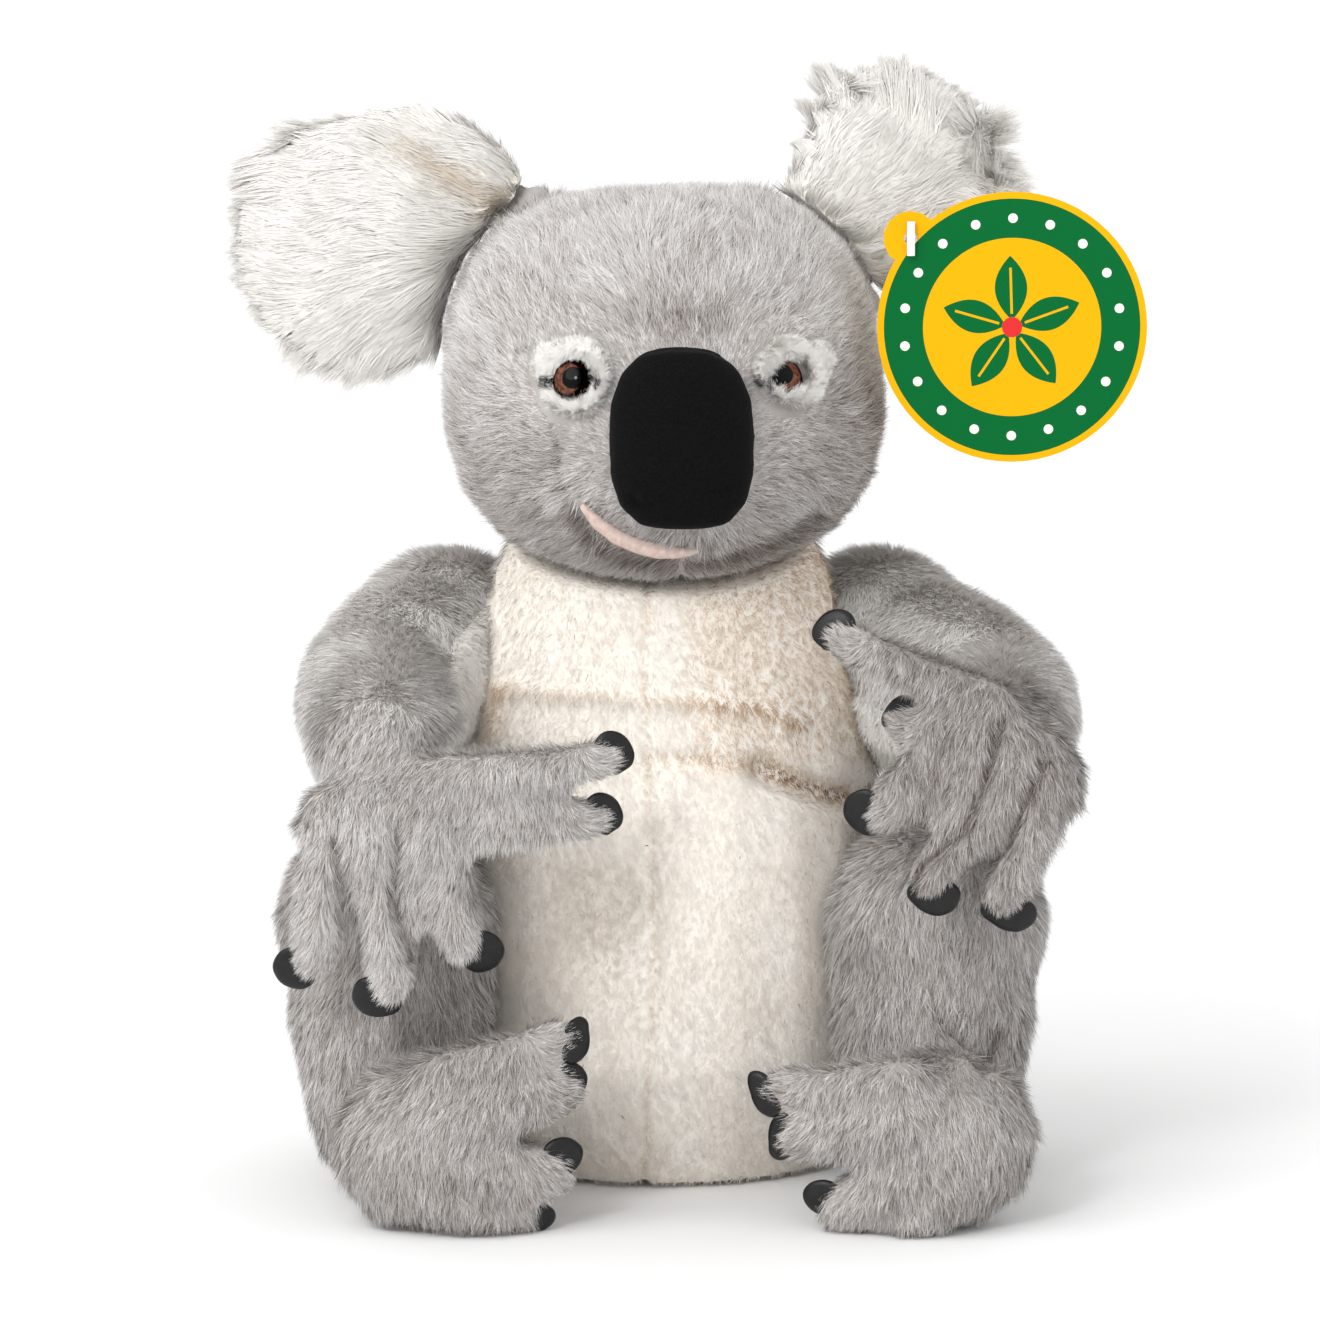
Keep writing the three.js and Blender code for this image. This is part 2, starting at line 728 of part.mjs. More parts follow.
// Limbs
const [leftLine, rightLine] = limbLines;
const legReach = Math.hypot(ankleOut, ankleForward) + ankleRadius;
const handReach = legReach + limbClearance;
const leftHandForward = handReach + palmHalfThick + leftHandStandOff;
const rightHandForward = handReach + palmHalfThick + rightHandStandOff;
const leftWristForward = leftHandForward - wristSetBack;
const rightWristForward = rightHandForward - wristSetBack;
const footForward = ankleForward + footAhead;

function besideBody({ x, y, way }, out, forward, height) {
  return new THREE.Vector3(x + way * out, y - forward, height);
}

const limbs = [
  {
    name: 'left',
    line: leftLine,
    elbow: besideBody(leftLine, leftElbowOut, leftElbowForward, leftElbowHeight),
    wrist: besideBody(leftLine, leftWristOut, leftWristForward, leftWristHeight),
    hand: besideBody(leftLine, leftHandOut, leftHandForward, leftHandHeight),
    handAngle: leftHandAngle,
    handHold: leftHandHold,
    foot: besideBody(leftLine, leftFootOut, footForward, leftFootHeight),
    footAngle: leftFootAngle,
    floor: leftArmFloor,
  },
  {
    name: 'right',
    line: rightLine,
    elbow: besideBody(rightLine, rightElbowOut, rightElbowForward, rightElbowHeight),
    wrist: besideBody(rightLine, rightWristOut, rightWristForward, rightWristHeight),
    hand: besideBody(rightLine, rightHandOut, rightHandForward, rightHandHeight),
    handAngle: rightHandAngle,
    handHold: rightHandHold,
    foot: besideBody(rightLine, rightFootOut, footForward, rightFootHeight),
    footAngle: rightFootAngle,
    floor: rightArmFloor,
  },
];

function sleeveForm({ line, elbow, wrist }, grow) {
  const shoulder = new THREE.Vector3(line.x, line.y, shoulderHeight);
  const foreArmRadius = (elbowRadius + wristRadius) / 2;
  const radii = [innerShare * shoulderRadius, upperArmSwell, elbowRadius, foreArmRadius, wristRadius];
  const upperArm = shoulder.clone().lerp(elbow, midShare);
  const foreArm = elbow.clone().lerp(wrist, midShare);
  return swellingForm({
    points: [shoulder, upperArm, elbow, foreArm, wrist],
    halves: radii.map((radius) => [radius + grow, radius + grow]),
    side: new THREE.Vector3(0, 0, 1),
    sides: limbSides,
    rings: limbRings,
  });
}

function buildArm(limb) {
  const { name, line, floor } = limb;
  const shoulder = new THREE.Vector3(line.x, line.y, shoulderHeight);
  const frame = new THREE.Group();
  frame.position.copy(shoulder);
  koala.add(frame);
  const legRoom = uprightCylinder(line.x, line.y, handReach, floor);
  const arm = sleeveForm(limb, 0).subtract(bodyClear)
    .add(roundBall(shoulder, shoulderRadius, ballSides))
    .subtract(legRoom)
    .intersect(belowNeck)
    .subtract(headClear);
  addPiece(frame, `arm_${name}`, largest(arm), 'greyPlush');
  return { frame, legRoom };
}

function legForm({ line }, grow) {
  const hip = new THREE.Vector3(line.x, line.y, hipHeight);
  const knee = besideBody(line, kneeOut, kneeForward, kneeHeight);
  const ankle = besideBody(line, ankleOut, ankleForward, ankleHeight);
  const stretch = (from, to, radii) => swellingForm({
    points: [from, from.clone().lerp(to, midShare), to],
    halves: radii.map((radius) => [radius + grow, radius + grow]),
    side: new THREE.Vector3(1, 0, 0),
    sides: limbSides,
    rings: digitRings,
  });
  const thigh = stretch(hip, knee, [innerShare * hipRadius, thighRadius, kneeRadius]);
  const shin = stretch(knee, ankle, [innerShare * kneeRadius, shinRadius, ankleRadius]);
  return thigh.add(shin);
}

// The body where the leg finds it once it has spread, seen from the leg
function bodyFromLeg({ x, y, way }, turn) {
  const move = new THREE.Matrix4().makeTranslation(x, y, 0)
    .multiply(new THREE.Matrix4().makeRotationZ(-way * turn * degree))
    .multiply(new THREE.Matrix4().makeTranslation(-x, -y, 0));
  return bodyClear.transform(move.toArray());
}

function buildLeg(limb) {
  const { name, line, floor } = limb;
  const hip = new THREE.Vector3(line.x, line.y, hipHeight);
  const frame = new THREE.Group();
  frame.position.copy(hip);
  koala.add(frame);
  const leg = legForm(limb, 0).subtract(bodyClear)
    .subtract(bodyFromLeg(line, legSpreadAngle * midShare))
    .subtract(bodyFromLeg(line, legSpreadAngle))
    .add(roundBall(hip, hipRadius, ballSides))
    .intersect(halfSpace(new THREE.Vector3(0, 0, floor - swingClearance), new THREE.Vector3(0, 0, -1)))
    .subtract(floorPlane);
  addPiece(frame, `leg_${name}`, largest(leg), 'greyPlush');
  return frame;
}

// A digit lies in its paw's plane, pointing at an angle from the paw's own direction, and curls in
function digitForm({ root, angle, length, radius, tipRadius, curl }) {
  const ahead = new THREE.Vector3(-Math.sin(angle), Math.cos(angle), 0);
  const tip = root.clone().addScaledVector(ahead, length).add(new THREE.Vector3(0, 0, -curl));
  const bend = root.clone().addScaledVector(ahead, length * bendShare);
  const points = [root, bend, tip];
  const middle = (radius + tipRadius) / 2;
  const solid = swellingForm({
    points,
    halves: [[radius, radius], [middle, middle], [tipRadius, tipRadius]],
    side: new THREE.Vector3(0, 0, 1),
    sides: digitSides,
    rings: digitRings,
  });
  const along = tip.clone().sub(bend).normalize();
  return { solid, tip, along };
}

// A claw is a crescent round the digit's tip, in the seam between its back and its palm side
function clawForm({ tip, along }, tipRadius, shares, clearance) {
  const inner = tipRadius - clawTuck - clearance;
  const outline = [];
  const sweep = clawSweepAngle * degree;
  const outerRadius = (turn) => {
    const share = Math.abs(turn) / sweep;
    const side = turn < 0 ? shares[0] : shares[1];
    const swell = clawStandOut * side * Math.sin(Math.PI * share);
    return tipRadius + clearance + clawTipStandOut * (1 - share) + swell;
  };
  for (let k = -clawSteps; k <= clawSteps; k += 1) {
    const turn = (k / clawSteps) * sweep;
    const radius = outerRadius(turn);
    outline.push(new THREE.Vector2(Math.sin(turn) * radius, Math.cos(turn) * radius));
  }
  for (let k = clawSteps; k >= -clawSteps; k -= 1) {
    const turn = (k / clawSteps) * sweep;
    outline.push(new THREE.Vector2(Math.sin(turn) * inner, Math.cos(turn) * inner));
  }
  const depth = clawThickness + 2 * clearance;
  const geometry = new THREE.ExtrudeGeometry(new THREE.Shape(outline), { depth, bevelEnabled: false });
  geometry.translate(0, 0, -depth / 2);
  const across = new THREE.Vector3().crossVectors(along, new THREE.Vector3(0, 0, 1)).normalize();
  const normal = new THREE.Vector3().crossVectors(across, along);
  geometry.applyMatrix4(new THREE.Matrix4().makeBasis(across, along, normal));
  geometry.translate(tip.x, tip.y, tip.z);
  return toSolid(geometry);
}

function buildPaw({ name, parent, centre, reach, back, half, digits, cutters, clawName }) {
  const frame = new THREE.Group();
  const local = centre.clone().sub(parent.position);
  const across = new THREE.Vector3().crossVectors(reach, back);
  frame.position.copy(local);
  frame.quaternion.setFromRotationMatrix(new THREE.Matrix4().makeBasis(across, reach, back));
  parent.add(frame);
  let paw = ballForm(new THREE.Vector3(), half, domeSides);
  const claws = digits.map((digit) => {
    const form = digitForm(digit);
    paw = paw.add(form.solid);
    return { form, digit };
  });
  claws.forEach(({ form, digit }) => {
    paw = paw.subtract(clawForm(form, digit.tipRadius, digit.clawShares, seamGap));
  });
  paw = inWorld(frame, paw).subtract(floorPlane);
  cutters.forEach((cutter) => {
    paw = paw.subtract(cutter);
  });
  addPiece(frame, name, largest(paw), 'greyPlush');
  const taken = [...cutters];
  claws.forEach(({ form, digit }) => {
    let claw = inWorld(frame, clawForm(form, digit.tipRadius, digit.clawShares, 0)).subtract(floorPlane);
    taken.forEach((other) => {
      claw = claw.subtract(other);
    });
    addPiece(frame, `${clawName}_claw_${digit.label}`, largest(claw), 'clawVinyl');
    taken.push(inWorld(frame, clawForm(form, digit.tipRadius, digit.clawShares, seamGap)));
  });
}

// Roots and tips of the digits lie in the paw's plane, as shares of the palm's half sizes;
// way is 1 where the thumbs point along the paw's own X and -1 where they point against it
function handDigits(way, { fingerShare, thumbShare, tuckedShare, thumbTurnAngle }) {
  const fingers = [
    { label: 'finger_1', rootShares: [0.58, 0.5], angle: -10, lengthShare: 0.72, clawShares: [0.2, 1] },
    { label: 'finger_2', rootShares: [0, 0.6], angle: -2, lengthShare: 1, clawShares: [0.9, 0.2] },
    { label: 'finger_3', rootShares: [-0.6, 0.5], angle: 7, lengthShare: 0.85, clawShares: [0.9, 0.2] },
  ].map((finger) => ({
    ...finger,
    reach: fingerLength * fingerShare,
    radius: fingerRadius,
    tipRadius: fingerTipRadius,
  }));
  const thumbs = [
    { label: 'thumb_1', rootShares: [0.35, -0.72], angle: -94, lengthShare: thumbShare, clawShares: [1, 0.3] },
    { label: 'thumb_2', rootShares: [0.35, 0.05], angle: -92, lengthShare: tuckedShare, clawShares: [0.9, 0.2] },
  ].map((thumb) => ({
    ...thumb,
    angle: thumb.angle + thumbTurnAngle,
    reach: thumbLength,
    radius: thumbRadius,
    tipRadius: thumbTipRadius,
  }));
  return placeDigits([...fingers, ...thumbs], way, palmHalfWidth, palmHalfLength, 0);
}

function footDigits(way) {
  const toes = [
    { label: 'toe_1', rootShares: [0.42, 0.25], angle: -10, lengthShare: 1, clawShares: [0.8, 0.2] },
    { label: 'toe_2', rootShares: [-0.12, 0.2], angle: 6, lengthShare: 0.95, clawShares: [0.2, 0.8] },
    { label: 'toe_3', rootShares: [-0.35, 0.1], angle: 24, lengthShare: 0.8, clawShares: [0.2, 0.8] },
  ].map((toe) => ({ ...toe, reach: toeLength, radius: toeRadius, tipRadius: toeTipRadius }));
  const bigToes = [
    { label: 'big_toe', rootShares: [0.81, 0.1], angle: -14, lengthShare: 1, clawShares: [0.3, 0.8] },
  ].map((toe) => ({ ...toe, reach: bigToeLength, radius: bigToeRadius, tipRadius: bigToeTipRadius }));
  const lift = toeLiftShare * soleHalfThick;
  return placeDigits([...toes, ...bigToes], way, soleHalfWidth, soleHalfLength, lift);
}

function placeDigits(digits, way, halfWidth, halfLength, lift) {
  return digits.map((digit) => ({
    ...digit,
    root: new THREE.Vector3(way * digit.rootShares[0] * halfWidth, digit.rootShares[1] * halfLength, lift),
    angle: way * digit.angle * degree,
    length: digit.reach * digit.lengthShare,
    curl: digit.reach * curlShare,
    clawShares: way > 0 ? digit.clawShares : [...digit.clawShares].reverse(),
  }));
}

buildBody();
buildHead();
buildFace();
buildEars();
limbs.forEach((limb) => {
  const { name, line, hand, handAngle, handHold, foot, footAngle } = limb;
  const facing = new THREE.Vector3(0, -1, 0);
  const { frame: armFrame, legRoom } = buildArm(limb);
  const inward = handAngle * degree;
  buildPaw({
    name: `paw_${name}`,
    clawName: `hand_${name}`,
    parent: armFrame,
    centre: hand,
    reach: new THREE.Vector3(-line.way * Math.sin(inward), 0, -Math.cos(inward)),
    back: facing,
    half: new THREE.Vector3(palmHalfWidth, palmHalfLength, palmHalfThick),
    digits: handDigits(line.way, handHold),
    cutters: [sleeveForm(limb, seamGap), legRoom],
  });
  const down = footAngle * degree;
  buildPaw({
    name: `foot_${name}`,
    clawName: `foot_${name}`,
    parent: buildLeg(limb),
    centre: foot,
    reach: new THREE.Vector3(-line.way * Math.cos(down), 0, -Math.sin(down)),
    back: facing,
    half: new THREE.Vector3(soleHalfWidth, soleHalfLength, soleHalfThick),
    digits: footDigits(line.way),
    cutters: [legForm(limb, seamGap), bodyClear],
  });
});

export default koala;
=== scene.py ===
import json
import math
import bpy
import bmesh
import numpy as np
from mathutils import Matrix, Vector, kdtree
from mathutils.bvhtree import BVHTree


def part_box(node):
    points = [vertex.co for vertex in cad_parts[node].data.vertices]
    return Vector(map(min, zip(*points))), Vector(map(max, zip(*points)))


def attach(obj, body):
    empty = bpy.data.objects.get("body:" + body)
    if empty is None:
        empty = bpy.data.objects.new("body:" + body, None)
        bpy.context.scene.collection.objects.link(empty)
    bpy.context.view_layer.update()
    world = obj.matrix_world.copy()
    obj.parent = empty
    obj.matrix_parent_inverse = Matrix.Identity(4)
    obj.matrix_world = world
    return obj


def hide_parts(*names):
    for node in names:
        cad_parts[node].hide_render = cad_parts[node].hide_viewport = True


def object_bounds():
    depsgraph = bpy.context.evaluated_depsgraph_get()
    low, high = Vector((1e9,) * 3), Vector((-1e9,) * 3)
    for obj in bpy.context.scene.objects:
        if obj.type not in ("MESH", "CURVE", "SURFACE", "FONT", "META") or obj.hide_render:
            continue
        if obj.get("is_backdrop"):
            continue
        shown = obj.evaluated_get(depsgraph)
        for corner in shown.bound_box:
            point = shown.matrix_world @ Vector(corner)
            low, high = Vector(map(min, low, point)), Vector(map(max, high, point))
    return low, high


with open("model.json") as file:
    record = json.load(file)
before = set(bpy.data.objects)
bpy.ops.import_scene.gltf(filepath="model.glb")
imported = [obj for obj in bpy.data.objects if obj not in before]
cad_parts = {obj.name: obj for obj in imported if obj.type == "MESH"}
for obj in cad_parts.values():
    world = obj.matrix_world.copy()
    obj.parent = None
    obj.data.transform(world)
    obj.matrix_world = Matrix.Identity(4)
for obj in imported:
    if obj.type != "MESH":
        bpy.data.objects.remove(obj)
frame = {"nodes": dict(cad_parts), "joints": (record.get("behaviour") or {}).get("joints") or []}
nodes = frame["nodes"]
joints = {joint["name"]: joint for joint in frame["joints"]}
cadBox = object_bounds()
scene = bpy.context.scene
sides = ("left", "right")
mm = 0.001

# the camera stands where the photograph was taken from
view = {
    "aim": (1.4, -20, 157.6),   # mm, the point in the middle of the picture
    "distance": 1600,
    "elevation": 7,             # degrees
    "pictureWidth": 396,        # mm across the picture at the aim
    "pixels": 1320,
    "sensor": 36,               # mm
    "reach": 200,               # m
}
aim = Vector(view["aim"]) * mm
lift = math.radians(view["elevation"])
eyePoint = aim + Vector((0, -math.cos(lift), math.sin(lift))) * view["distance"] * mm
camera = bpy.data.objects.new("camera", bpy.data.cameras.new("camera"))
scene.collection.objects.link(camera)
camera.location = eyePoint
camera.rotation_euler = (aim - eyePoint).to_track_quat("-Z", "Y").to_euler()
camera.data.sensor_width = view["sensor"]
camera.data.lens = view["sensor"] * view["distance"] / view["pictureWidth"]
camera.data.clip_end = view["reach"]
scene.camera = camera


def rayAt(px, py):
    # the direction in which the camera sees a pixel of the picture
    turn = camera.rotation_euler.to_matrix()
    half = view["pictureWidth"] / view["distance"] / 2
    across = (px / view["pixels"] * 2 - 1) * half
    up = (1 - py / view["pixels"] * 2) * half
    return (turn @ Vector((across, up, -1))).normalized()


def pointAt(px, py, depth):
    # where that line of sight crosses the upright plane y = depth, in mm
    ray = rayAt(px, py)
    return eyePoint + ray * ((depth * mm - eyePoint.y) / ray.y)


def inPicture(points):
    # the pixels at which the camera sees these points
    turn = np.array(camera.rotation_euler.to_matrix())
    seen = (points - np.array(eyePoint)) @ turn
    half = view["pictureWidth"] / view["distance"] / 2
    across = (seen[:, 0] / -seen[:, 2] / half + 1) / 2
    down = (1 - seen[:, 1] / -seen[:, 2] / half) / 2
    return np.stack((across, down), axis=1) * view["pixels"]


def pictureGap(points, line):
    # how far a line of pixels is from each point as the camera sees it, in mm
    spots = inPicture(points)
    nearest = np.full(len(spots), np.inf)
    for start, end in zip(np.array(line[:-1], float), np.array(line[1:], float)):
        way = end - start
        share = np.clip(((spots - start) @ way) / (way @ way), 0, 1)
        nearest = np.minimum(nearest, np.linalg.norm(spots - (start + share[:, None] * way), axis=1))
    return nearest * view["pictureWidth"] / view["pixels"]


def onLine(points, line, width):
    # 1 on a line of pixels, fading out over about this many mm to its sides
    return np.exp(-(pictureGap(points, line) / width) ** 2)


def insideOutline(points, outline):
    # whether the camera sees each point inside an outline of pixels
    x, y = inPicture(points).T
    inside = np.zeros(len(points), bool)
    for (x0, y0), (x1, y1) in zip(outline, outline[1:] + outline[:1]):
        if y0 != y1:
            inside ^= ((y0 > y) != (y1 > y)) & (x < (x1 - x0) * (y - y0) / (y1 - y0) + x0)
    return inside


# shader sums are written as Python sums on these
class Line:
    def __init__(self, finish, socket):
        self.finish = finish
        self.socket = socket

    def sum(self, operation, first, second=None):
        inputs = {0: first} if second is None else {0: first, 1: second}
        return self.finish.node("ShaderNodeMath", {"operation": operation}, inputs)[0]

    def __add__(self, other):
        return self.sum("ADD", self, other)

    def __radd__(self, other):
        return self.sum("ADD", other, self)

    def __sub__(self, other):
        return self.sum("SUBTRACT", self, other)

    def __rsub__(self, other):
        return self.sum("SUBTRACT", other, self)

    def __mul__(self, other):
        return self.sum("MULTIPLY", self, other)

    def __rmul__(self, other):
        return self.sum("MULTIPLY", other, self)

    def __truediv__(self, other):
        return self.sum("DIVIDE", self, other)

    def __rtruediv__(self, other):
        return self.sum("DIVIDE", other, self)

    def __lt__(self, other):
        return self.sum("LESS_THAN", self, other)

    def __gt__(self, other):
        return self.sum("GREATER_THAN", self, other)

    def sqrt(self):
        return self.sum("SQRT", self)

    def size(self):
        return self.sum("ABSOLUTE", self)


class Finish:
    def __init__(self, name, **constants):
        self.material = bpy.data.materials.new(name)
        self.material.use_nodes = True
        self.tree = self.material.node_tree
        self.shader = self.tree.nodes["Principled BSDF"]
        for key, value in constants.items():
            self.set(key.replace("_", " "), value)

    def node(self, kind, settings=None, inputs=None):
        made = self.tree.nodes.new(kind)
        for key, value in (settings or {}).items():
            if key == "stops":
                ramp = made.color_ramp
                while len(ramp.elements) > 1:
                    ramp.elements.remove(ramp.elements[-1])
                ramp.elements[0].position = value[0][0]
                ramp.elements[0].color = (*value[0][1], 1)
                for place, colour in value[1:]:
                    ramp.elements.new(place).color = (*colour, 1)
            else:
                setattr(made, key, value)
        for key, value in (inputs or {}).items():
            if isinstance(value, Line):
                self.tree.links.new(value.socket, made.inputs[key])
            else:
                made.inputs[key].default_value = value
        return [Line(self, socket) for socket in made.outputs if socket.enabled]

    def set(self, key, value):
        if isinstance(value, Line):
            self.tree.links.new(value.socket, self.shader.inputs[key])
        else:
            self.shader.inputs[key].default_value = value

    def place(self):
        return self.node("ShaderNodeTexCoord")[3]

    def noise(self, scale, detail):
        inputs = {"Scale": scale, "Detail": detail, "Roughness": 0.5, "Vector": self.place()}
        return self.node("ShaderNodeTexNoise", {}, inputs)[0]

    def ramp(self, value, stops):
        return self.node("ShaderNodeValToRGB", {"stops": stops}, {"Fac": value})[0]

    def blend(self, share, first, second, mode="MIX"):
        settings = {"data_type": "RGBA", "blend_type": mode}
        return self.node("ShaderNodeMix", settings, {0: share, 6: first, 7: second})[0]

    def bump(self, height, strength, distance):
        inputs = {"Strength": strength, "Distance": distance, "Height": height}
        self.set("Normal", self.node("ShaderNodeBump", {}, inputs)[0])

    def mottle(self, patches, stops, grain, strength, distance):
        # patches of colour and a fine grain
        self.set("Base Color", self.ramp(self.noise(*patches), stops))
        self.bump(self.noise(grain, 2), strength, distance)


def rgb(red, green, blue):
    # a colour given as it looks on screen, from 0 to 255
    parts = (red, green, blue)
    return tuple(((c / 255 + 0.055) / 1.055) ** 2.4 if c > 10 else c / 255 / 12.92 for c in parts)


def rgba(red, green, blue):
    return (*rgb(red, green, blue), 1)


def clothFinish(name, low, high):
    made = Finish(name, Roughness=0.9, Sheen_Weight=0.15)
    made.mottle((60, 4), [(0.3, rgb(*low)), (0.7, rgb(*high))], 900, 0.6, 0.0006)
    return made.material


def pileFinish(name, stops, root, sheen=0.1):
    # strands take their tone from u and go darker towards the root along v, as the pile's own roots are,
    # and warmer there as painted warm shade
    made = Finish(name, Roughness=0.8, Specular_IOR_Level=0.25, Sheen_Weight=sheen, Sheen_Roughness=0.4)
    spot = made.node("ShaderNodeUVMap", {"uv_map": "OFBake"})[0]
    across, along = made.node("ShaderNodeSeparateXYZ", {}, {0: spot})[:2]
    tone = made.ramp(across, [(place, rgb(*colour)) for place, colour in stops])
    shade = made.ramp(along, [(0, root), (0.5, (0.95, 0.945, 0.94)), (1, (1, 1, 1))])
    made.set("Base Color", made.blend(1.0, tone, shade, "MULTIPLY"))
    return made.material


# the cloth under the pile: soft copies of the solids, taken in by the pile's depth
def settle(piece):
    mesh = bpy.data.meshes.new_from_object(piece.evaluated_get(bpy.context.evaluated_depsgraph_get()))
    piece.modifiers.clear()
    piece.data = mesh
    mesh.name = piece.name


def newPiece(name, form, finish, smooth=True):
    mesh = bpy.data.meshes.new(name)
    form.to_mesh(mesh)
    form.free()
    if smooth:
        mesh.shade_smooth()
    mesh.materials.append(finish)
    piece = bpy.data.objects.new(name, mesh)
    scene.collection.objects.link(piece)
    return piece


def softCopy(name, nodeNames, look, finish):
    form = bmesh.new()
    for nodeName in nodeNames:
        form.from_mesh(nodes[nodeName].data)
    bmesh.ops.remove_doubles(form, verts=form.verts[:], dist=0.00001)
    form.normal_update()
    for vert in form.verts:
        vert.co += vert.normal * look.get("swell", 0.25) * mm
    piece = newPiece(name, form, finish)
    knit = piece.modifiers.new("knit", "REMESH")
    knit.mode = "VOXEL"
    knit.voxel_size = look["voxel"] * mm
    settle(piece)
    form = bmesh.new()
    form.from_mesh(piece.data)
    for step in range(look["soften"]):
        bmesh.ops.smooth_vert(form, verts=form.verts[:], factor=0.5,
                              use_axis_x=True, use_axis_y=True, use_axis_z=True)
    form.to_mesh(piece.data)
    form.free()
    piece.data.shade_smooth()
    piece.data.materials.clear()
    piece.data.materials.append(finish)
    return piece


def meshArrays(mesh):
    places = np.empty(len(mesh.vertices) * 3)
    mesh.vertices.foreach_get("co", places)
    normals = np.empty(len(mesh.vertices) * 3)
    mesh.vertices.foreach_get("normal", normals)
    return places.reshape(-1, 3), normals.reshape(-1, 3)


def unit(vectors):
    return vectors / np.maximum(np.linalg.norm(vectors, axis=-1, keepdims=True), 1e-12)


def smoothStep(low, high, values):
    share = np.clip((values - low) / (high - low), 0, 1)
    return share * share * (3 - 2 * share)


def farFrom(points, nodeNames):
    # how far each point is from these nodes' solids, in mm
    form = bmesh.new()
    for nodeName in nodeNames:
        form.from_mesh(nodes[nodeName].data)
    tree = BVHTree.FromBMesh(form)
    form.free()
    return np.array([tree.find_nearest(point)[3] for point in points]) / mm


def takeIn(piece, depth, shares=None):
    # moves the cloth inwards, by a depth in mm times a share for each point
    places, normals = meshArrays(piece.data)
    moves = normals * depth * mm
    if shares is not None:
        moves *= shares[:, None]
    piece.data.vertices.foreach_set("co", (places - moves).ravel())
    piece.data.update()


def furrow(piece, line, width, depth):
    # presses a crease along a line of pixels into the side that the camera sees
    places, normals = meshArrays(piece.data)
    press = onLine(places, line, width) * depth * mm * (normals[:, 1] < 0.1)
    piece.data.vertices.foreach_set("co", (places - normals * press[:, None]).ravel())
    piece.data.update()


def scatter(mesh, count, dice):
    mesh.calc_loop_triangles()
    corners = np.empty(len(mesh.loop_triangles) * 3, dtype=np.int32)
    mesh.loop_triangles.foreach_get("vertices", corners)
    corners = corners.reshape(-1, 3)
    places, normals = meshArrays(mesh)
    a, b, c = (places[corners[:, k]] for k in range(3))
    areas = np.linalg.norm(np.cross(b - a, c - a), axis=1)
    chosen = np.searchsorted(np.cumsum(areas) / areas.sum(), dice.random(count))
    chosen = np.minimum(chosen, len(corners) - 1)
    s = np.sqrt(dice.random(count))
    t = dice.random(count)
    shares = np.stack((1 - s, s * (1 - t), s * t), axis=1)
    corner = corners[chosen]
    points = (places[corner] * shares[:, :, None]).sum(axis=1)
    return points, unit((normals[corner] * shares[:, :, None]).sum(axis=1))


def turned(ways, normals, angles):
    return ways * np.cos(angles)[:, None] + np.cross(normals, ways) * np.sin(angles)[:, None]


def ripples(points, size, seed):
    # a smooth random value from -1 to 1 that changes over about this many mm
    dice = np.random.default_rng(seed)
    total = np.zeros(len(points))
    for wave in range(7):
        way = unit(dice.normal(0, 1, 3)[None])[0] * 2 * math.pi / (size * mm * dice.uniform(0.7, 1.6))
        total += np.sin(points @ way + dice.uniform(0, 2 * math.pi))
    return np.tanh(total / 2)


# what every pile has in common; lengths, widths and pulls are spread over these shares
strandLook = {
    "tuftReach": 0.12, "lengths": (0.7, 1.15), "wisp": 1.5, "standing": (0.3, 0.9), "rises": (0.04, 0.95),
    "swirl": {"size": 38, "seed": 5}, "drift": {"size": 26, "seed": 9}, "pulls": (0.5, 1), "bendPull": 0.15,
    "lowest": 0.3, "rooted": 0.4, "widths": (0.7, 1.3), "roll": 0.6, "taper": 0.55,
    "toneSpread": 0.05, "tones": (0.012, 0.988), "mapHalf": 0.004, "mapEdge": 0.005,
}


def layStrands(points, outs, comb, look, turns, lengths, rise):
    # the bend and the tip of each strand, and the way it lies along the cloth
    ways = comb(points, outs)
    ways = unit(ways - outs * (ways * outs).sum(axis=1, keepdims=True))
    ways = turned(ways, outs, turns)
    lean = np.sqrt(np.maximum(1 - rise ** 2, 0))
    bends = points + (outs * look["start"] + ways * (1 - look["start"])) * (lengths * 0.5)[:, None]
    tips = points + (outs * rise[:, None] + ways * lean[:, None]) * lengths[:, None]
    tips[:, 2] -= look.get("droop", 0) * lengths
    return bends, tips, ways


def bladeVerts(roots, bends, tips, normals, halves, roll, steps):
    # two verts for each step from the root up, and one at the tip
    rows = []
    for place in np.linspace(0, 1, steps + 1)[:-1]:
        middle = roots * (1 - place) ** 2 + bends * 2 * place * (1 - place) + tips * place ** 2
        slope = unit((bends - roots) * (1 - place) + (tips - bends) * place)
        across = unit(np.cross(slope, normals))
        out = np.cross(across, slope)
        across = across * np.cos(roll)[:, None] + out * np.sin(roll)[:, None]
        wide = halves * (1 - strandLook["taper"] * place ** 2)
        rows += [middle - across * wide[:, None], middle + across * wide[:, None]]
    return np.stack([*rows, tips], axis=1).reshape(-1, 3)


def bladeMap(tones, steps):
    # u is the strand's tone, v runs from its root to its tip
    half, edge = strandLook["mapHalf"], strandLook["mapEdge"]
    spots = [(way * half, step / steps) for step in range(steps) for way in (-1, 1)]
    spots = np.array([*spots, (0, 1)])
    spots[:, 1] = edge + spots[:, 1] * (1 - 2 * edge)
    u = np.repeat(tones[:, None], len(spots), axis=1) + spots[None, :, 0]
    v = np.repeat(spots[None, :, 1], len(tones), axis=0)
    return np.stack((u, v), axis=2).reshape(-1, 2)


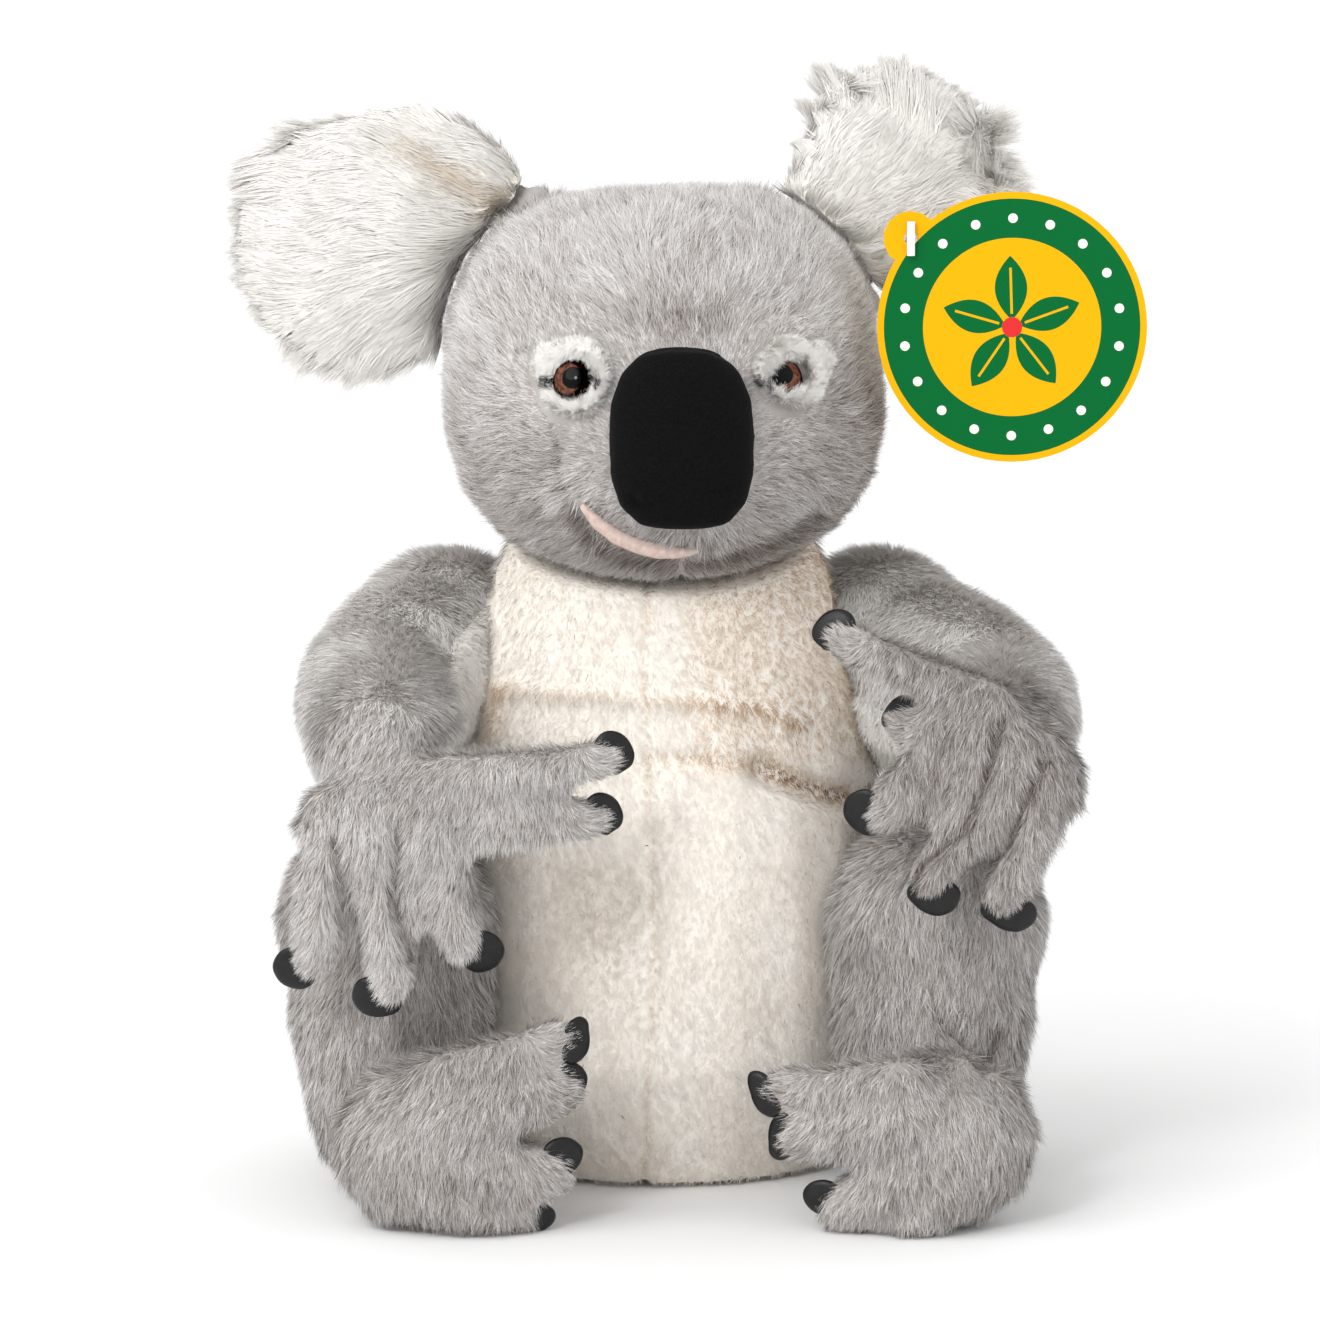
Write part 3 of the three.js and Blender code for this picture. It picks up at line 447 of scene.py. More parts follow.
def bladeMesh(name, verts, spots, count, steps, finish):
    each = 2 * steps + 1
    faces = []
    for step in range(steps - 1):
        k = 2 * step
        faces += [(k, k + 1, k + 3), (k, k + 3, k + 2)]
    faces.append((each - 3, each - 2, each - 1))
    loops = (np.arange(count)[:, None, None] * each + np.array(faces)[None]).ravel()
    mesh = bpy.data.meshes.new(name)
    mesh.vertices.add(len(verts))
    mesh.vertices.foreach_set("co", verts.ravel())
    mesh.loops.add(len(loops))
    mesh.loops.foreach_set("vertex_index", loops.astype(np.int32))
    mesh.polygons.add(len(loops) // 3)
    mesh.polygons.foreach_set("loop_start", np.arange(0, len(loops), 3, dtype=np.int32))
    mesh.update(calc_edges=True)
    layer = mesh.uv_layers.new(name="OFBake")
    layer.data.foreach_set("uv", spots[loops].ravel())
    mesh.materials.append(finish)
    mesh.shade_smooth()
    return mesh


def growPile(name, cover, look, comb, finish, body, keep=None, tone=None, reach=None):
    # strands of pile, each a narrow blade that starts in the cloth and lies over the way it is combed
    common = strandLook
    dice = np.random.default_rng(look["seed"])
    roots, normals = scatter(cover.data, look["strands"], dice)
    if keep is not None:
        kept = dice.random(len(roots)) < keep(roots, normals)
        roots, normals = roots[kept], normals[kept]
    count = len(roots)
    tufts, tuftNormals = scatter(cover.data, look["tufts"], dice)
    tree = kdtree.KDTree(len(tufts))
    for index, tuft in enumerate(tufts):
        tree.insert(tuft, index)
    tree.balance()
    home = np.array([tree.find(root)[1] for root in roots])
    tuftTurn = dice.normal(0, look["tuftTurn"], len(tufts))
    tuftTone = dice.normal(0, look["tuftTone"], len(tufts))
    tuftReach = dice.normal(1, common["tuftReach"], len(tufts))

    length = look["length"] * mm
    lengths = length * dice.uniform(*common["lengths"], count) * tuftReach[home]
    lengths *= np.where(dice.random(count) < look.get("wisps", 0), common["wisp"], 1)
    tuftLengths = length * tuftReach
    if reach is not None:
        lengths *= reach(roots, normals)
        tuftLengths = tuftLengths * reach(tufts, tuftNormals)
    rise = look["rise"] + dice.normal(0, look["riseSpread"], count)
    rise = rise + look.get("stand", 0) * smoothStep(*common["standing"], normals[:, 2])
    rise = np.clip(rise, *common["rises"])
    swirl = look["swirl"]
    turns = tuftTurn[home] + dice.normal(0, look["turn"], count) + swirl * ripples(roots, **common["swirl"])
    bends, tips, ways = layStrands(roots, normals, comb, look, turns, lengths, rise)
    tuftTurns = tuftTurn + swirl * ripples(tufts, **common["swirl"])
    tuftRise = np.full(len(tufts), look["rise"])
    _, tuftTips, _ = layStrands(tufts, tuftNormals, comb, look, tuftTurns, tuftLengths, tuftRise)
    pull = look["pull"] * dice.uniform(*common["pulls"], count)[:, None]
    tips = tips + (tuftTips[home] - tips) * pull
    bends = bends + (tuftTips[home] - tips) * pull * common["bendPull"]
    # the pile that the koala sits on lies flat
    tips[:, 2] = np.maximum(tips[:, 2], common["lowest"] * mm)
    bends[:, 2] = np.maximum(bends[:, 2], common["lowest"] * mm)
    bends += np.cross(normals, ways) * (dice.normal(0, look["wave"], count) * lengths)[:, None]
    roots = roots - normals * common["rooted"] * mm

    halves = look["width"] * mm / 2 * dice.uniform(*common["widths"], count)
    roll = dice.normal(0, common["roll"], count)
    verts = bladeVerts(roots, bends, tips, normals, halves, roll, look["steps"])
    tones = dice.choice(look["tones"], count, p=look["toneShares"]) + tuftTone[home]
    tones = tones + dice.normal(0, common["toneSpread"], count)
    tones = tones + look["drift"] * ripples(roots, **common["drift"])
    if tone is not None:
        tones = tone(roots, normals, tones)
    # the first two strands have the ends of the scale, so that the map spans it
    tones = np.clip(tones, *common["tones"])
    tones[:2] = common["tones"]

    mesh = bladeMesh(name, verts, bladeMap(tones, look["steps"]), count, look["steps"], finish)
    _, bladeNormals = meshArrays(mesh)
    skin = np.repeat(normals, 2 * look["steps"] + 1, axis=0)
    soft = look["soft"]
    mesh.normals_split_custom_set_from_vertices(unit(bladeNormals * (1 - soft) + skin * soft))
    pile = bpy.data.objects.new(name, mesh)
    scene.collection.objects.link(pile)
    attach(pile, body)


def centreOf(nodeName):
    low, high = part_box(nodeName)
    return (Vector(low) + Vector(high)) / 2


def downward(points, outs):
    return np.tile((0, 0, -1.0), (len(points), 1))


print("finishes")
greyStops = [
    (0, (98, 86, 79)), (0.2, (150, 141, 136)), (0.45, (198, 193, 190)),
    (0.7, (229, 226, 224)), (1, (251, 249, 247)),
]
whiteStops = [
    (0, (160, 118, 88)), (0.25, (222, 194, 166)), (0.5, (242, 228, 212)),
    (0.75, (253, 248, 241)), (1, (255, 254, 251)),
]
silkStops = [
    (0, (184, 164, 140)), (0.25, (216, 206, 192)), (0.5, (232, 228, 222)),
    (0.75, (239, 237, 233)), (1, (247, 245, 242)),
]
greyPile = pileFinish("heathered pile", greyStops, (0.74, 0.71, 0.69))
whitePile = pileFinish("cream pile", whiteStops, (0.97, 0.95, 0.92))
silkPile = pileFinish("silky pile", silkStops, (0.98, 0.97, 0.95))
greyCloth = clothFinish("grey knit backing", (156, 150, 146), (182, 177, 174))
whiteCloth = clothFinish("cream knit backing", (246, 238, 226), (252, 248, 241))

# every pile starts from one of these
longPile = {
    "strands": 150000, "tufts": 20000, "length": 7.5, "width": 0.25, "rise": 0.3, "riseSpread": 0.1,
    "steps": 1, "start": 0.4, "turn": 0.26, "tuftTurn": 0.26, "tuftTone": 0.08, "pull": 0.35, "wave": 0,
    "swirl": 0.4, "tones": (0.2, 0.42, 0.6, 0.8), "toneShares": (0.08, 0.22, 0.42, 0.28), "drift": 0.05,
    "soft": 0.75, "seed": 11,
}
shortPile = {
    "strands": 150000, "tufts": 30000, "length": 2.8, "width": 0.3, "rise": 0.42, "riseSpread": 0.14,
    "steps": 1, "start": 0.7, "turn": 0.5, "tuftTurn": 0.5, "tuftTone": 0.015, "pull": 0.3, "wave": 0,
    "swirl": 0.4, "tones": (0.72, 0.78, 0.84), "toneShares": (0.3, 0.4, 0.3), "drift": 0.015,
    "soft": 0.9, "seed": 21,
}

print("head")
headLook = {
    "voxel": 1.7, "soften": 14, "takeIn": 2.6, "strands": 280000, "backStrands": 235000, "split": -4,
    # lines of pixels: along the mouth, the cheek, the crown's seam, and where pile hangs over the lip's end
    "mouth": [(583, 510), (607, 542), (639, 556), (687, 559), (735, 551), (775, 536), (808, 514)],
    "cheek": [(564, 434), (566, 461), (571, 487), (583, 512)],
    "crown": [(588, 178), (620, 172), (650, 171)],
    "hang": [(660, 536), (705, 538)],
    # how far lines are pressed in, in mm: their width and their depth
    "furrows": {"mouth": (2.6, 2.2), "cheek": (2.2, 1.4)},
    # over how many mm from the face's pieces and the ears the cloth comes to be taken in fully
    "besideFace": (0, 14), "besideEars": (-2, 8),
    "combFrom": (0, 0.012, -0.004),                     # from the nose's middle, m
    # heights and depths in m between which each change comes in
    "chin": (0.205, 0.19), "behind": (-0.01, 0.055), "jaw": (0.2, 0.186), "jawShade": (0.2, 0.184),
    "fringe": {"up": 0.031, "half": (0.02, 0.0055)}, "front": -0.03,
    "shade": {"x": (0.03, 0.075), "y": (0.02, -0.02), "z": (0.262, 0.232)}, "cheekShade": (0.255, 0.215),
    # how much darker, and over how many mm beside its line; the mouth and cheek lines, the jaw, the right
    # side's shade and the lower cheeks are painted shade
    "tones": {"fringe": 0.3, "mouth": (0.3, 2.6), "cheek": (0.16, 1.6), "crown": (0.3, 2.2),
              "jaw": 0.06, "shade": 0.26, "cheekShade": 0.14},
}
faceNodes = ["nose", "lip", "eye_left", "eye_right", "eye_patch_left", "eye_patch_right"]
headCover = softCopy("head_cover", ["head_skin", "head_filling"], headLook, greyCloth)
places, _ = meshArrays(headCover.data)
earNodes = ["ear_back_left", "ear_back_right", "ear_lining_left", "ear_lining_right"]
shares = smoothStep(*headLook["besideFace"], farFrom(places, faceNodes))
shares = shares * smoothStep(*headLook["besideEars"], farFrom(places, earNodes))
takeIn(headCover, headLook["takeIn"], shares)
for key, (width, depth) in headLook["furrows"].items():
    furrow(headCover, headLook[key], width, depth)
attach(headCover, "head")
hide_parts("head_skin", "head_filling")

noseMiddle = np.array(centreOf("nose"))


def headComb(points, outs):
    # the face is combed away from the nose, the chin aside, and the back of the head downwards
    away = unit(points - (noseMiddle + np.array(headLook["combFrom"])))
    away[:, 2] += 0.1
    chin = smoothStep(*headLook["chin"], points[:, 2])[:, None]
    aside = np.sign(points[:, 0] - noseMiddle[0]) * 0.8
    away = away * (1 - chin) + np.stack((aside, away[:, 1], away[:, 2] * 0.4), axis=1) * chin
    behind = smoothStep(*headLook["behind"], points[:, 1])[:, None]
    return away * (1 - behind) + np.array((0, 0, -1.0)) * behind


def faceKeep(points, outs):
    return smoothStep(0.3, 1.2, farFrom(points, faceNodes))


def faceReach(points, outs):
    # short beside the nose and the eyes, longer where it hangs over the lip's end
    near = farFrom(points, [node for node in faceNodes if node != "lip"])
    hang = onLine(points, headLook["hang"], 3.0)
    jaw = smoothStep(*headLook["jaw"], points[:, 2])
    return (0.35 + 0.65 * smoothStep(1, 22, near)) * (1 - 0.35 * jaw) + 0.35 * hang


def faceTone(points, outs, tones):
    # darker over the nose and on the crown's seam; painted shade in the creases along the mouth and the
    # cheek, under the chin, on the head's right side away from the key light and over the lower cheeks
    shares = headLook["tones"]
    apart = (points[:, ::2] - noseMiddle[::2] - (0, headLook["fringe"]["up"])) / headLook["fringe"]["half"]
    front = points[:, 1] < headLook["front"]
    tones = tones - shares["fringe"] * np.exp(-(apart ** 2).sum(axis=1)) * front
    for key, where in (("mouth", front), ("cheek", front), ("crown", 1)):
        depth, width = shares[key]
        tones = tones - depth * onLine(points, headLook[key], width) * where
    shade = [smoothStep(*headLook["shade"][axis], points[:, k]) for k, axis in enumerate("xyz")]
    shade = np.prod(shade, axis=0)
    cheekShade = smoothStep(*headLook["cheekShade"], points[:, 2])
    jaw = smoothStep(*headLook["jawShade"], points[:, 2])
    return tones - shares["jaw"] * jaw - shares["shade"] * shade - shares["cheekShade"] * cheekShade


split = headLook["split"] * mm
facePile = dict(longPile, strands=headLook["strands"])
growPile("head_pile_face", headCover, facePile, headComb, greyPile, "head",
         keep=lambda p, n: faceKeep(p, n) * (p[:, 1] < split), tone=faceTone, reach=faceReach)
backPile = dict(longPile, strands=headLook["backStrands"], seed=12)
growPile("head_pile_back", headCover, backPile, headComb, greyPile, "head",
         keep=lambda p, n: p[:, 1] >= split, tone=faceTone)

print("body")
bodyLook = {
    "voxel": 1.8, "soften": 12, "takeIn": 1.4, "strands": 245000, "backStrands": 175000,
    "middle": [(648, 570), (645, 690), (648, 755), (651, 850), (657, 950), (650, 1050), (643, 1190)],
    "chest": [(500, 686), (545, 691), (600, 693), (645, 698), (700, 700), (760, 706), (800, 722)],
    "fold": [(648, 757), (700, 758), (745, 764), (800, 784), (850, 797)],
    "tuck": [(765, 768), (800, 782), (840, 795), (900, 800)],
    "hollow": [(596, 905), (604, 950)],
    "armpit": [(499, 690), (493, 735)],
    # where painted light lifts the shade inside the left arm's bend
    "elbow": [(380, 640), (420, 690)],
    # how far each line is pressed in, in mm: its width and its depth
    "furrows": {"middle": (1.6, 1.3), "chest": (2.6, -1.4), "fold": (2.6, 1.6), "tuck": (4.5, 5.0),
                "hollow": (17, 5.0)},
    # how much darker each line is, as painted shade in the seams, folds, tuck, hollow and armpit, and over
    # how many mm beside it
    "tones": {"middle": (0.22, 1.3), "chest": (0.22, 2.2), "fold": (0.28, 2.6), "tuck": (0.55, 3.4),
              "hollow": (0.2, 15), "armpit": (0.4, 3.5)},
    # where the painted warm shade of the chest's right side, the chin's shade and the seat's shade come in,
    # in m
    "chestSide": (0.0, 0.02), "chestHeight": (0.122, 0.135), "under": (0.17, 0.186), "low": (0.032, 0.008),
    "shades": {"chest": 0.36, "under": 0.08, "low": 0.1},
    "seam": 0.002, "backSeam": 0.004,                   # no pile grows lower than this, m
    "longer": {"seam": 0.5, "arms": 0.7},
}
bodyNodes = ["seat_panel", "body_filling", "belly_skin", "back_skin"]
bodyCover = softCopy("body_cover", bodyNodes, bodyLook, whiteCloth)
places, _ = meshArrays(bodyCover.data)
takeIn(bodyCover, bodyLook["takeIn"], smoothStep(0, 9, farFrom(places, ["arm_left", "arm_right"])))
for key, (width, depth) in bodyLook["furrows"].items():
    furrow(bodyCover, bodyLook[key], width, depth)
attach(bodyCover, "torso")
bodyCover.data.materials.append(greyCloth)
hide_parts(*bodyNodes)


def onBelly(points):
    return farFrom(points, ["belly_skin"]) < farFrom(points, ["back_skin"])


centres = np.array([tuple(polygon.center) for polygon in bodyCover.data.polygons])
bodyCover.data.polygons.foreach_set("material_index", (~onBelly(centres)).astype(np.int32))


def bellyShade(points, outs, tones):
    # painted shade along the seams, folds, tuck, hollow and armpit, painted warm shade on the chest's right
    # side, and painted shade under the chin and near the seat
    for key, (depth, width) in bodyLook["tones"].items():
        tones = tones - depth * onLine(points, bodyLook[key], width)
    chest = smoothStep(*bodyLook["chestSide"], points[:, 0])
    chest = chest * smoothStep(*bodyLook["chestHeight"], points[:, 2])
    under = smoothStep(*bodyLook["under"], points[:, 2])
    low = smoothStep(*bodyLook["low"], points[:, 2])
    shades = bodyLook["shades"]
    return tones - shades["chest"] * chest - shades["under"] * under - shades["low"] * low


def bellyReach(points, outs):
    # longer along the chest's seam and beside the arms
    beside = smoothStep(6, 1, farFrom(points, ["arm_left", "arm_right"]))
    longer = bodyLook["longer"]
    return 1 + longer["seam"] * onLine(points, bodyLook["chest"], 2.0) + longer["arms"] * beside


growPile("belly_pile", bodyCover, dict(shortPile, strands=bodyLook["strands"]), downward, whitePile,
         "torso", tone=bellyShade, reach=bellyReach,
         keep=lambda p, n: onBelly(p) * (p[:, 2] > bodyLook["seam"]))
backPile = dict(longPile, strands=bodyLook["backStrands"], seed=22)
growPile("back_pile", bodyCover, backPile, downward, greyPile, "torso",
         keep=lambda p, n: ~onBelly(p) * (p[:, 2] > bodyLook["backSeam"]))

print("limbs")
limbLook = {
    "voxel": 1.6, "soften": 8, "takeIn": 2.2, "clawTakeIn": 1.0, "lapShare": 0.1, "lapDepth": -0.052,
    "crease": (2.2, 3.0), "creaseShade": (0.4, 1.7),
    # the way down, leaning outwards, and how far forwards
    "down": {"arm_left": (-0.16, -0.65, -1), "arm_right": (-0.12, -0.65, -1),
             "leg_left": (-0.16, -0.3, -1), "leg_right": (-0.12, -0.3, -1)},
    # in m: near a digit's tip, and the height and depth at which the shoulder's painted light comes in
    "tip": (0.017, 0.006), "shoulder": {"up": (0.115, 0.15), "back": (-0.1, -0.03)},
    # how much lighter or darker: painted light on the shoulders, on upward faces and by the elbow, painted
    # shade on the right arm below its shoulder; legs darker all over
    "tones": {"left": 0.3, "right": 0.34, "top": 0.1, "rightArmShade": 0.2, "elbow": 0.3, "leg": 0.1},
    "lapShade": (0.5, 3.5),
    "seeds": {"arm_left": 48, "arm_right": 51, "leg_left": 47, "leg_right": 50},
}
limbPile = dict(longPile, length=6.0, width=0.22, rise=0.4, stand=0.12, turn=0.22, tuftTurn=0.2, swirl=0.25)
# the lap's cream tones are raised as painted light against the shade between the arm and the body
lapPile = dict(shortPile, strands=300000, length=4.0, width=0.35, tones=(0.86, 0.92, 0.98))
limbKinds = {
    "arm": {"end": "paw", "claw": "hand", "strands": 175000,
            "digits": ("finger_1", "finger_2", "finger_3", "thumb_1", "thumb_2")},
    "leg": {"end": "foot", "claw": "foot", "strands": 165000,
            "digits": ("toe_1", "toe_2", "toe_3", "big_toe")},
}
# creases between the digits and over the ankle, pressed in and darkened with painted shade, and where the
# chest's cream cloth laps over an arm
creases = {
    "arm_left": [
        [(333, 828), (340, 862), (348, 921)],
        [(398, 821), (399, 852), (394, 893), (402, 921), (409, 955)],
    ],
    "arm_right": [
        [(1002, 719), (985, 780), (969, 821), (924, 862), (914, 876)],
        [(1045, 755), (1026, 796), (1010, 841), (985, 862), (961, 884)],
    ],
    "leg_left": [],
    "leg_right": [[(936, 1013), (985, 1062)], [(1002, 1025), (985, 1062)]],
}
laps = {
    "arm_left": [(512, 560), (500, 590), (470, 622), (452, 655), (445, 700), (449, 734),
                 (600, 734), (600, 560)],
    "arm_right": [(770, 690), (850, 692), (905, 724), (906, 770), (895, 796), (770, 796)],
}


def limbComb(kind, side, wrist, tips):
    # downwards, over an arm's upper faces forwards and under its lower faces back,
    # and past the end of each digit beside its claw
    wrist = np.array(wrist)
    down = np.array(limbLook["down"][f"{kind}_{side}"], float)

    def comb(points, outs):
        ways = unit(down[None]) * np.ones((len(points), 1))
        if kind == "arm":
            ways[:, 1] += smoothStep(0.25, -0.25, outs[:, 2])
        for tip in tips:
            ahead = np.array(tip) - wrist
            ahead = ahead / np.linalg.norm(ahead)
            gaps = np.linalg.norm(points - np.array(tip), axis=1)
            near = 0.75 * smoothStep(*limbLook["tip"], gaps)[:, None]
            ways = ways * (1 - near) + ahead * near
        return ways
    return comb


def limbTone(kind, lines):
    # painted light on the shoulders' fronts, on upward faces and by the elbow, painted shade on the right
    # arm's front below its shoulder; legs and feet darker all over
    shares = limbLook["tones"]
    depth, width = limbLook["creaseShade"]

    def tone(points, outs, tones):
        if kind == "arm":
            front = smoothStep(0.6, 0.1, outs[:, 1])
            shoulder = smoothStep(*limbLook["shoulder"]["up"], points[:, 2])
            shoulder = shoulder * smoothStep(*limbLook["shoulder"]["back"], points[:, 1])
            right = points[:, 0] > 0
            tones = tones + np.where(right, shares["right"], shares["left"]) * shoulder * front
            tones = tones + shares["top"] * smoothStep(0.5, 0.9, outs[:, 2])
            tones = tones - shares["rightArmShade"] * right * (1 - shoulder) * front
            tones = tones + shares["elbow"] * onLine(points, bodyLook["elbow"], 14)
        else:
            tones = tones - shares["leg"]
        # painted shade along the creases on the faces turned to the front
        for line in lines:
            tones = tones - depth * onLine(points, line, width) * (outs[:, 1] < -0.3)
        return tones
    return tone


def lapShade(points, outs, tones):
    # painted warm shade in the armpit, where the chest's cloth meets the arm
    depth, width = limbLook["lapShade"]
    return tones - depth * onLine(points, bodyLook["armpit"], width)


def growLimb(kind, side, facts):
    limb = f"{kind}_{side}"
    limbNodes = [limb, f"{facts['end']}_{side}"]
    cover = softCopy(f"{kind}_cover_{side}", limbNodes, limbLook, greyCloth)
    claws = [f"{facts['claw']}_{side}_claw_{digit}" for digit in facts["digits"]]
    places, _ = meshArrays(cover.data)
    share = limbLook["clawTakeIn"] / limbLook["takeIn"]
    lap = laps.get(limb)
    shares = share + (1 - share) * smoothStep(0, 10, farFrom(places, claws))
    if lap:
        shares *= np.where(insideOutline(places, lap), limbLook["lapShare"], 1)
    takeIn(cover, limbLook["takeIn"], shares)
    for line in creases[limb]:
        furrow(cover, line, *limbLook["crease"])
    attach(cover, limb)
    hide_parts(*limbNodes)

    def lapped(points, outs):
        if not lap:
            return np.zeros(len(points), bool)
        return insideOutline(points, lap) & (outs[:, 1] < 0.3) & (points[:, 1] > limbLook["lapDepth"])

    comb = limbComb(kind, side, centreOf(limbNodes[1]), [centreOf(claw) for claw in claws])
    look = dict(limbPile, strands=facts["strands"], seed=limbLook["seeds"][limb])
    growPile(f"{kind}_pile_{side}", cover, look, comb, greyPile, limb,
             keep=lambda p, n: smoothStep(0.1, 0.8, farFrom(p, claws)) * ~lapped(p, n),
             reach=lambda p, n: 0.5 + 0.5 * smoothStep(0, 12, farFrom(p, claws)),
             tone=limbTone(kind, creases[limb]))
    if lap:
        cover.data.materials.append(whiteCloth)
        centres = np.array([tuple(polygon.center) for polygon in cover.data.polygons])
        outs = np.array([tuple(polygon.normal) for polygon in cover.data.polygons])
        cover.data.polygons.foreach_set("material_index", lapped(centres, outs).astype(np.int32))
        growPile(f"chest_lap_{side}", cover, lapPile, downward, whitePile, limb,
                 keep=lapped, tone=lapShade)


for side in sides:
    for kind, facts in limbKinds.items():
        growLimb(kind, side, facts)

print("ears")
earLook = {
    "voxel": 1.4, "soften": 5, "swell": 0, "takeIn": 1.2, "rimFacing": 0.6, "tipShare": 0.35, "fullAt": 20,
    # the hollow is pressed in and darkened with painted warm shade
    "hollow": [(412, 152), (455, 172), (515, 216)], "furrow": (7, 2.5), "hollowShade": (0.6, 6.5),
    "edge": [(462, 104), (496, 126), (527, 156), (548, 188)], "edgeWidth": 5.0,
    "lies": {"left": (-0.95, -0.08, -0.22), "right": (0.5, -0.08, 0.55)},
    "fans": {"left": 0.4, "right": 0.7},
    # in m: how far from the ear's root the painted shade deep inside reaches, and the left ear's lower hair
    "deep": (0.045, 0.02), "hang": (0.266, 0.248), "low": (0.262, 0.25), "lockWidth": 0.0075,
}
silk = dict(shortPile, strands=46000, tufts=900, length=20, width=0.34, rise=0.07, riseSpread=0.03,
            start=0.25, steps=2, turn=0.1, tuftTurn=0.18, pull=0.45, wave=0.04, droop=0.03, wisps=0.02,
            swirl=0.25, seed=41, tones=(0.86, 0.93, 0.98), tuftTone=0.02, drift=0.01, soft=0.97)
lockPile = dict(silk, strands=56000, tufts=400, turn=0.06, tuftTurn=0.05, swirl=0.05, rise=0.1, wave=0.06,
                wisps=0, seed=47)
earBackPile = dict(longPile, strands=70000, tufts=5000, seed=43, length=5)
earEdgePile = dict(longPile, strands=60000, seed=44, length=6)
# locks that stand out past the rim, each from a root to a tip in the picture
locks = {
    "left": [
        ((272, 140), (202, 147)), ((272, 150), (212, 162)), ((270, 162), (218, 174)),
        ((280, 130), (232, 130)), ((300, 124), (262, 121)), ((268, 180), (234, 196)),
    ],
    "right": [
        ((820, 112), (806, 92)), ((842, 100), (836, 52)), ((880, 104), (892, 64)), ((915, 112), (925, 42)),
        ((932, 122), (946, 84)), ((962, 140), (990, 124)), ((985, 142), (1034, 99)),
        ((990, 165), (1040, 140)), ((985, 180), (1042, 166)), ((960, 200), (1006, 196)),
        ((900, 100), (908, 58)), ((800, 150), (790, 142)),
    ],
}


def rimTreeOf(skin, skinOuts):
    # the verts at the rim, where the ear's skin turns from its front to its back
    facing = skinOuts.mean(axis=0)
    facing = unit(facing[None])[0] if np.linalg.norm(facing) > 0.01 else np.array((0, -1.0, 0))
    tree = kdtree.KDTree(len(skin))
    for index in np.where(np.abs(skinOuts @ facing) < earLook["rimFacing"])[0]:
        tree.insert(skin[index], int(index))
    tree.balance()
    return tree


def growEar(side):
    root = np.array(joints[f"ear_{side}_flap"]["pos_m"])
    lie = np.array(earLook["lies"][side])
    fan = earLook["fans"][side]
    skin, skinOuts = meshArrays(nodes[f"ear_lining_{side}"].data)
    rimTree = rimTreeOf(skin, skinOuts)
    depth = skin.mean(axis=0)[1] / mm
    starts = np.array([tuple(pointAt(*start, depth)) for start, _ in locks[side]])
    ends = np.array([tuple(pointAt(*end, depth)) for _, end in locks[side]])

    def rimGap(points):
        return np.array([rimTree.find(point)[2] for point in points]) / mm

    def earComb(points, outs):
        ways = unit(points - root) * fan + lie * (1 - fan)
        if side == "left":
            ways[:, 2] -= 0.9 * smoothStep(*earLook["hang"], points[:, 2])
        return ways

    def earReach(points, outs):
        # short at the rim, so that the silhouette keeps the ear's own shape
        tip = earLook["tipShare"]
        low = 0.3 * smoothStep(*earLook["low"], points[:, 2]) * (points[:, 0] < 0)
        return np.maximum(tip + (1 - tip) * smoothStep(0, earLook["fullAt"], rimGap(points)), tip + low)

    def earShade(points, outs, tones):
        # painted warm shade in the hollow and deep inside the ear
        depth, width = earLook["hollowShade"]
        tones = tones - 0.12 * smoothStep(*earLook["deep"], np.linalg.norm(points - root, axis=1))
        return tones - depth * onLine(points, earLook["hollow"], width)

    def onEdge(points, outs):
        # the grey back shows along the left ear's upper edge
        return pictureGap(points, earLook["edge"]) < earLook["edgeWidth"]

    def lockOf(points):
        gaps = np.linalg.norm((points[:, None] - starts[None])[:, :, (0, 2)], axis=2)
        return gaps.argmin(axis=1), gaps.min(axis=1)

    def lockComb(points, outs):
        return ends[lockOf(points)[0]] - points

    def lockReach(points, outs):
        return np.linalg.norm(lockComb(points, outs)[:, (0, 2)], axis=1) / (silk["length"] * mm)

    def earCover(kind, finish):
        node = f"ear_{kind}_{side}"
        cover = softCopy(f"{node}_cover", [node], earLook, finish)
        takeIn(cover, earLook["takeIn"])
        if kind == "lining":
            furrow(cover, earLook["hollow"], *earLook["furrow"])
        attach(cover, f"ear_{side}")
        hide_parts(node)
        return cover

    body = f"ear_{side}"
    cover = earCover("back", greyCloth)
    growPile(f"ear_back_pile_{side}", cover, earBackPile, earComb, greyPile, body,
             keep=lambda p, n: smoothStep(0.1, 0.4, n[:, 1]),
             reach=lambda p, n: 0.3 + 0.7 * smoothStep(2, 9, rimGap(p)))
    cover = earCover("lining", whiteCloth)
    growPile(f"ear_fur_{side}", cover, silk, earComb, silkPile, body,
             tone=earShade, reach=earReach, keep=lambda p, n: ~onEdge(p, n))
    growPile(f"ear_locks_{side}", cover, lockPile, lockComb, silkPile, body,
             reach=lockReach, keep=lambda p, n: lockOf(p)[1] < earLook["lockWidth"])
    if side == "left":
        growPile("ear_edge_left", cover, earEdgePile, earComb, greyPile, body, keep=onEdge)


for side in sides:
    growEar(side)

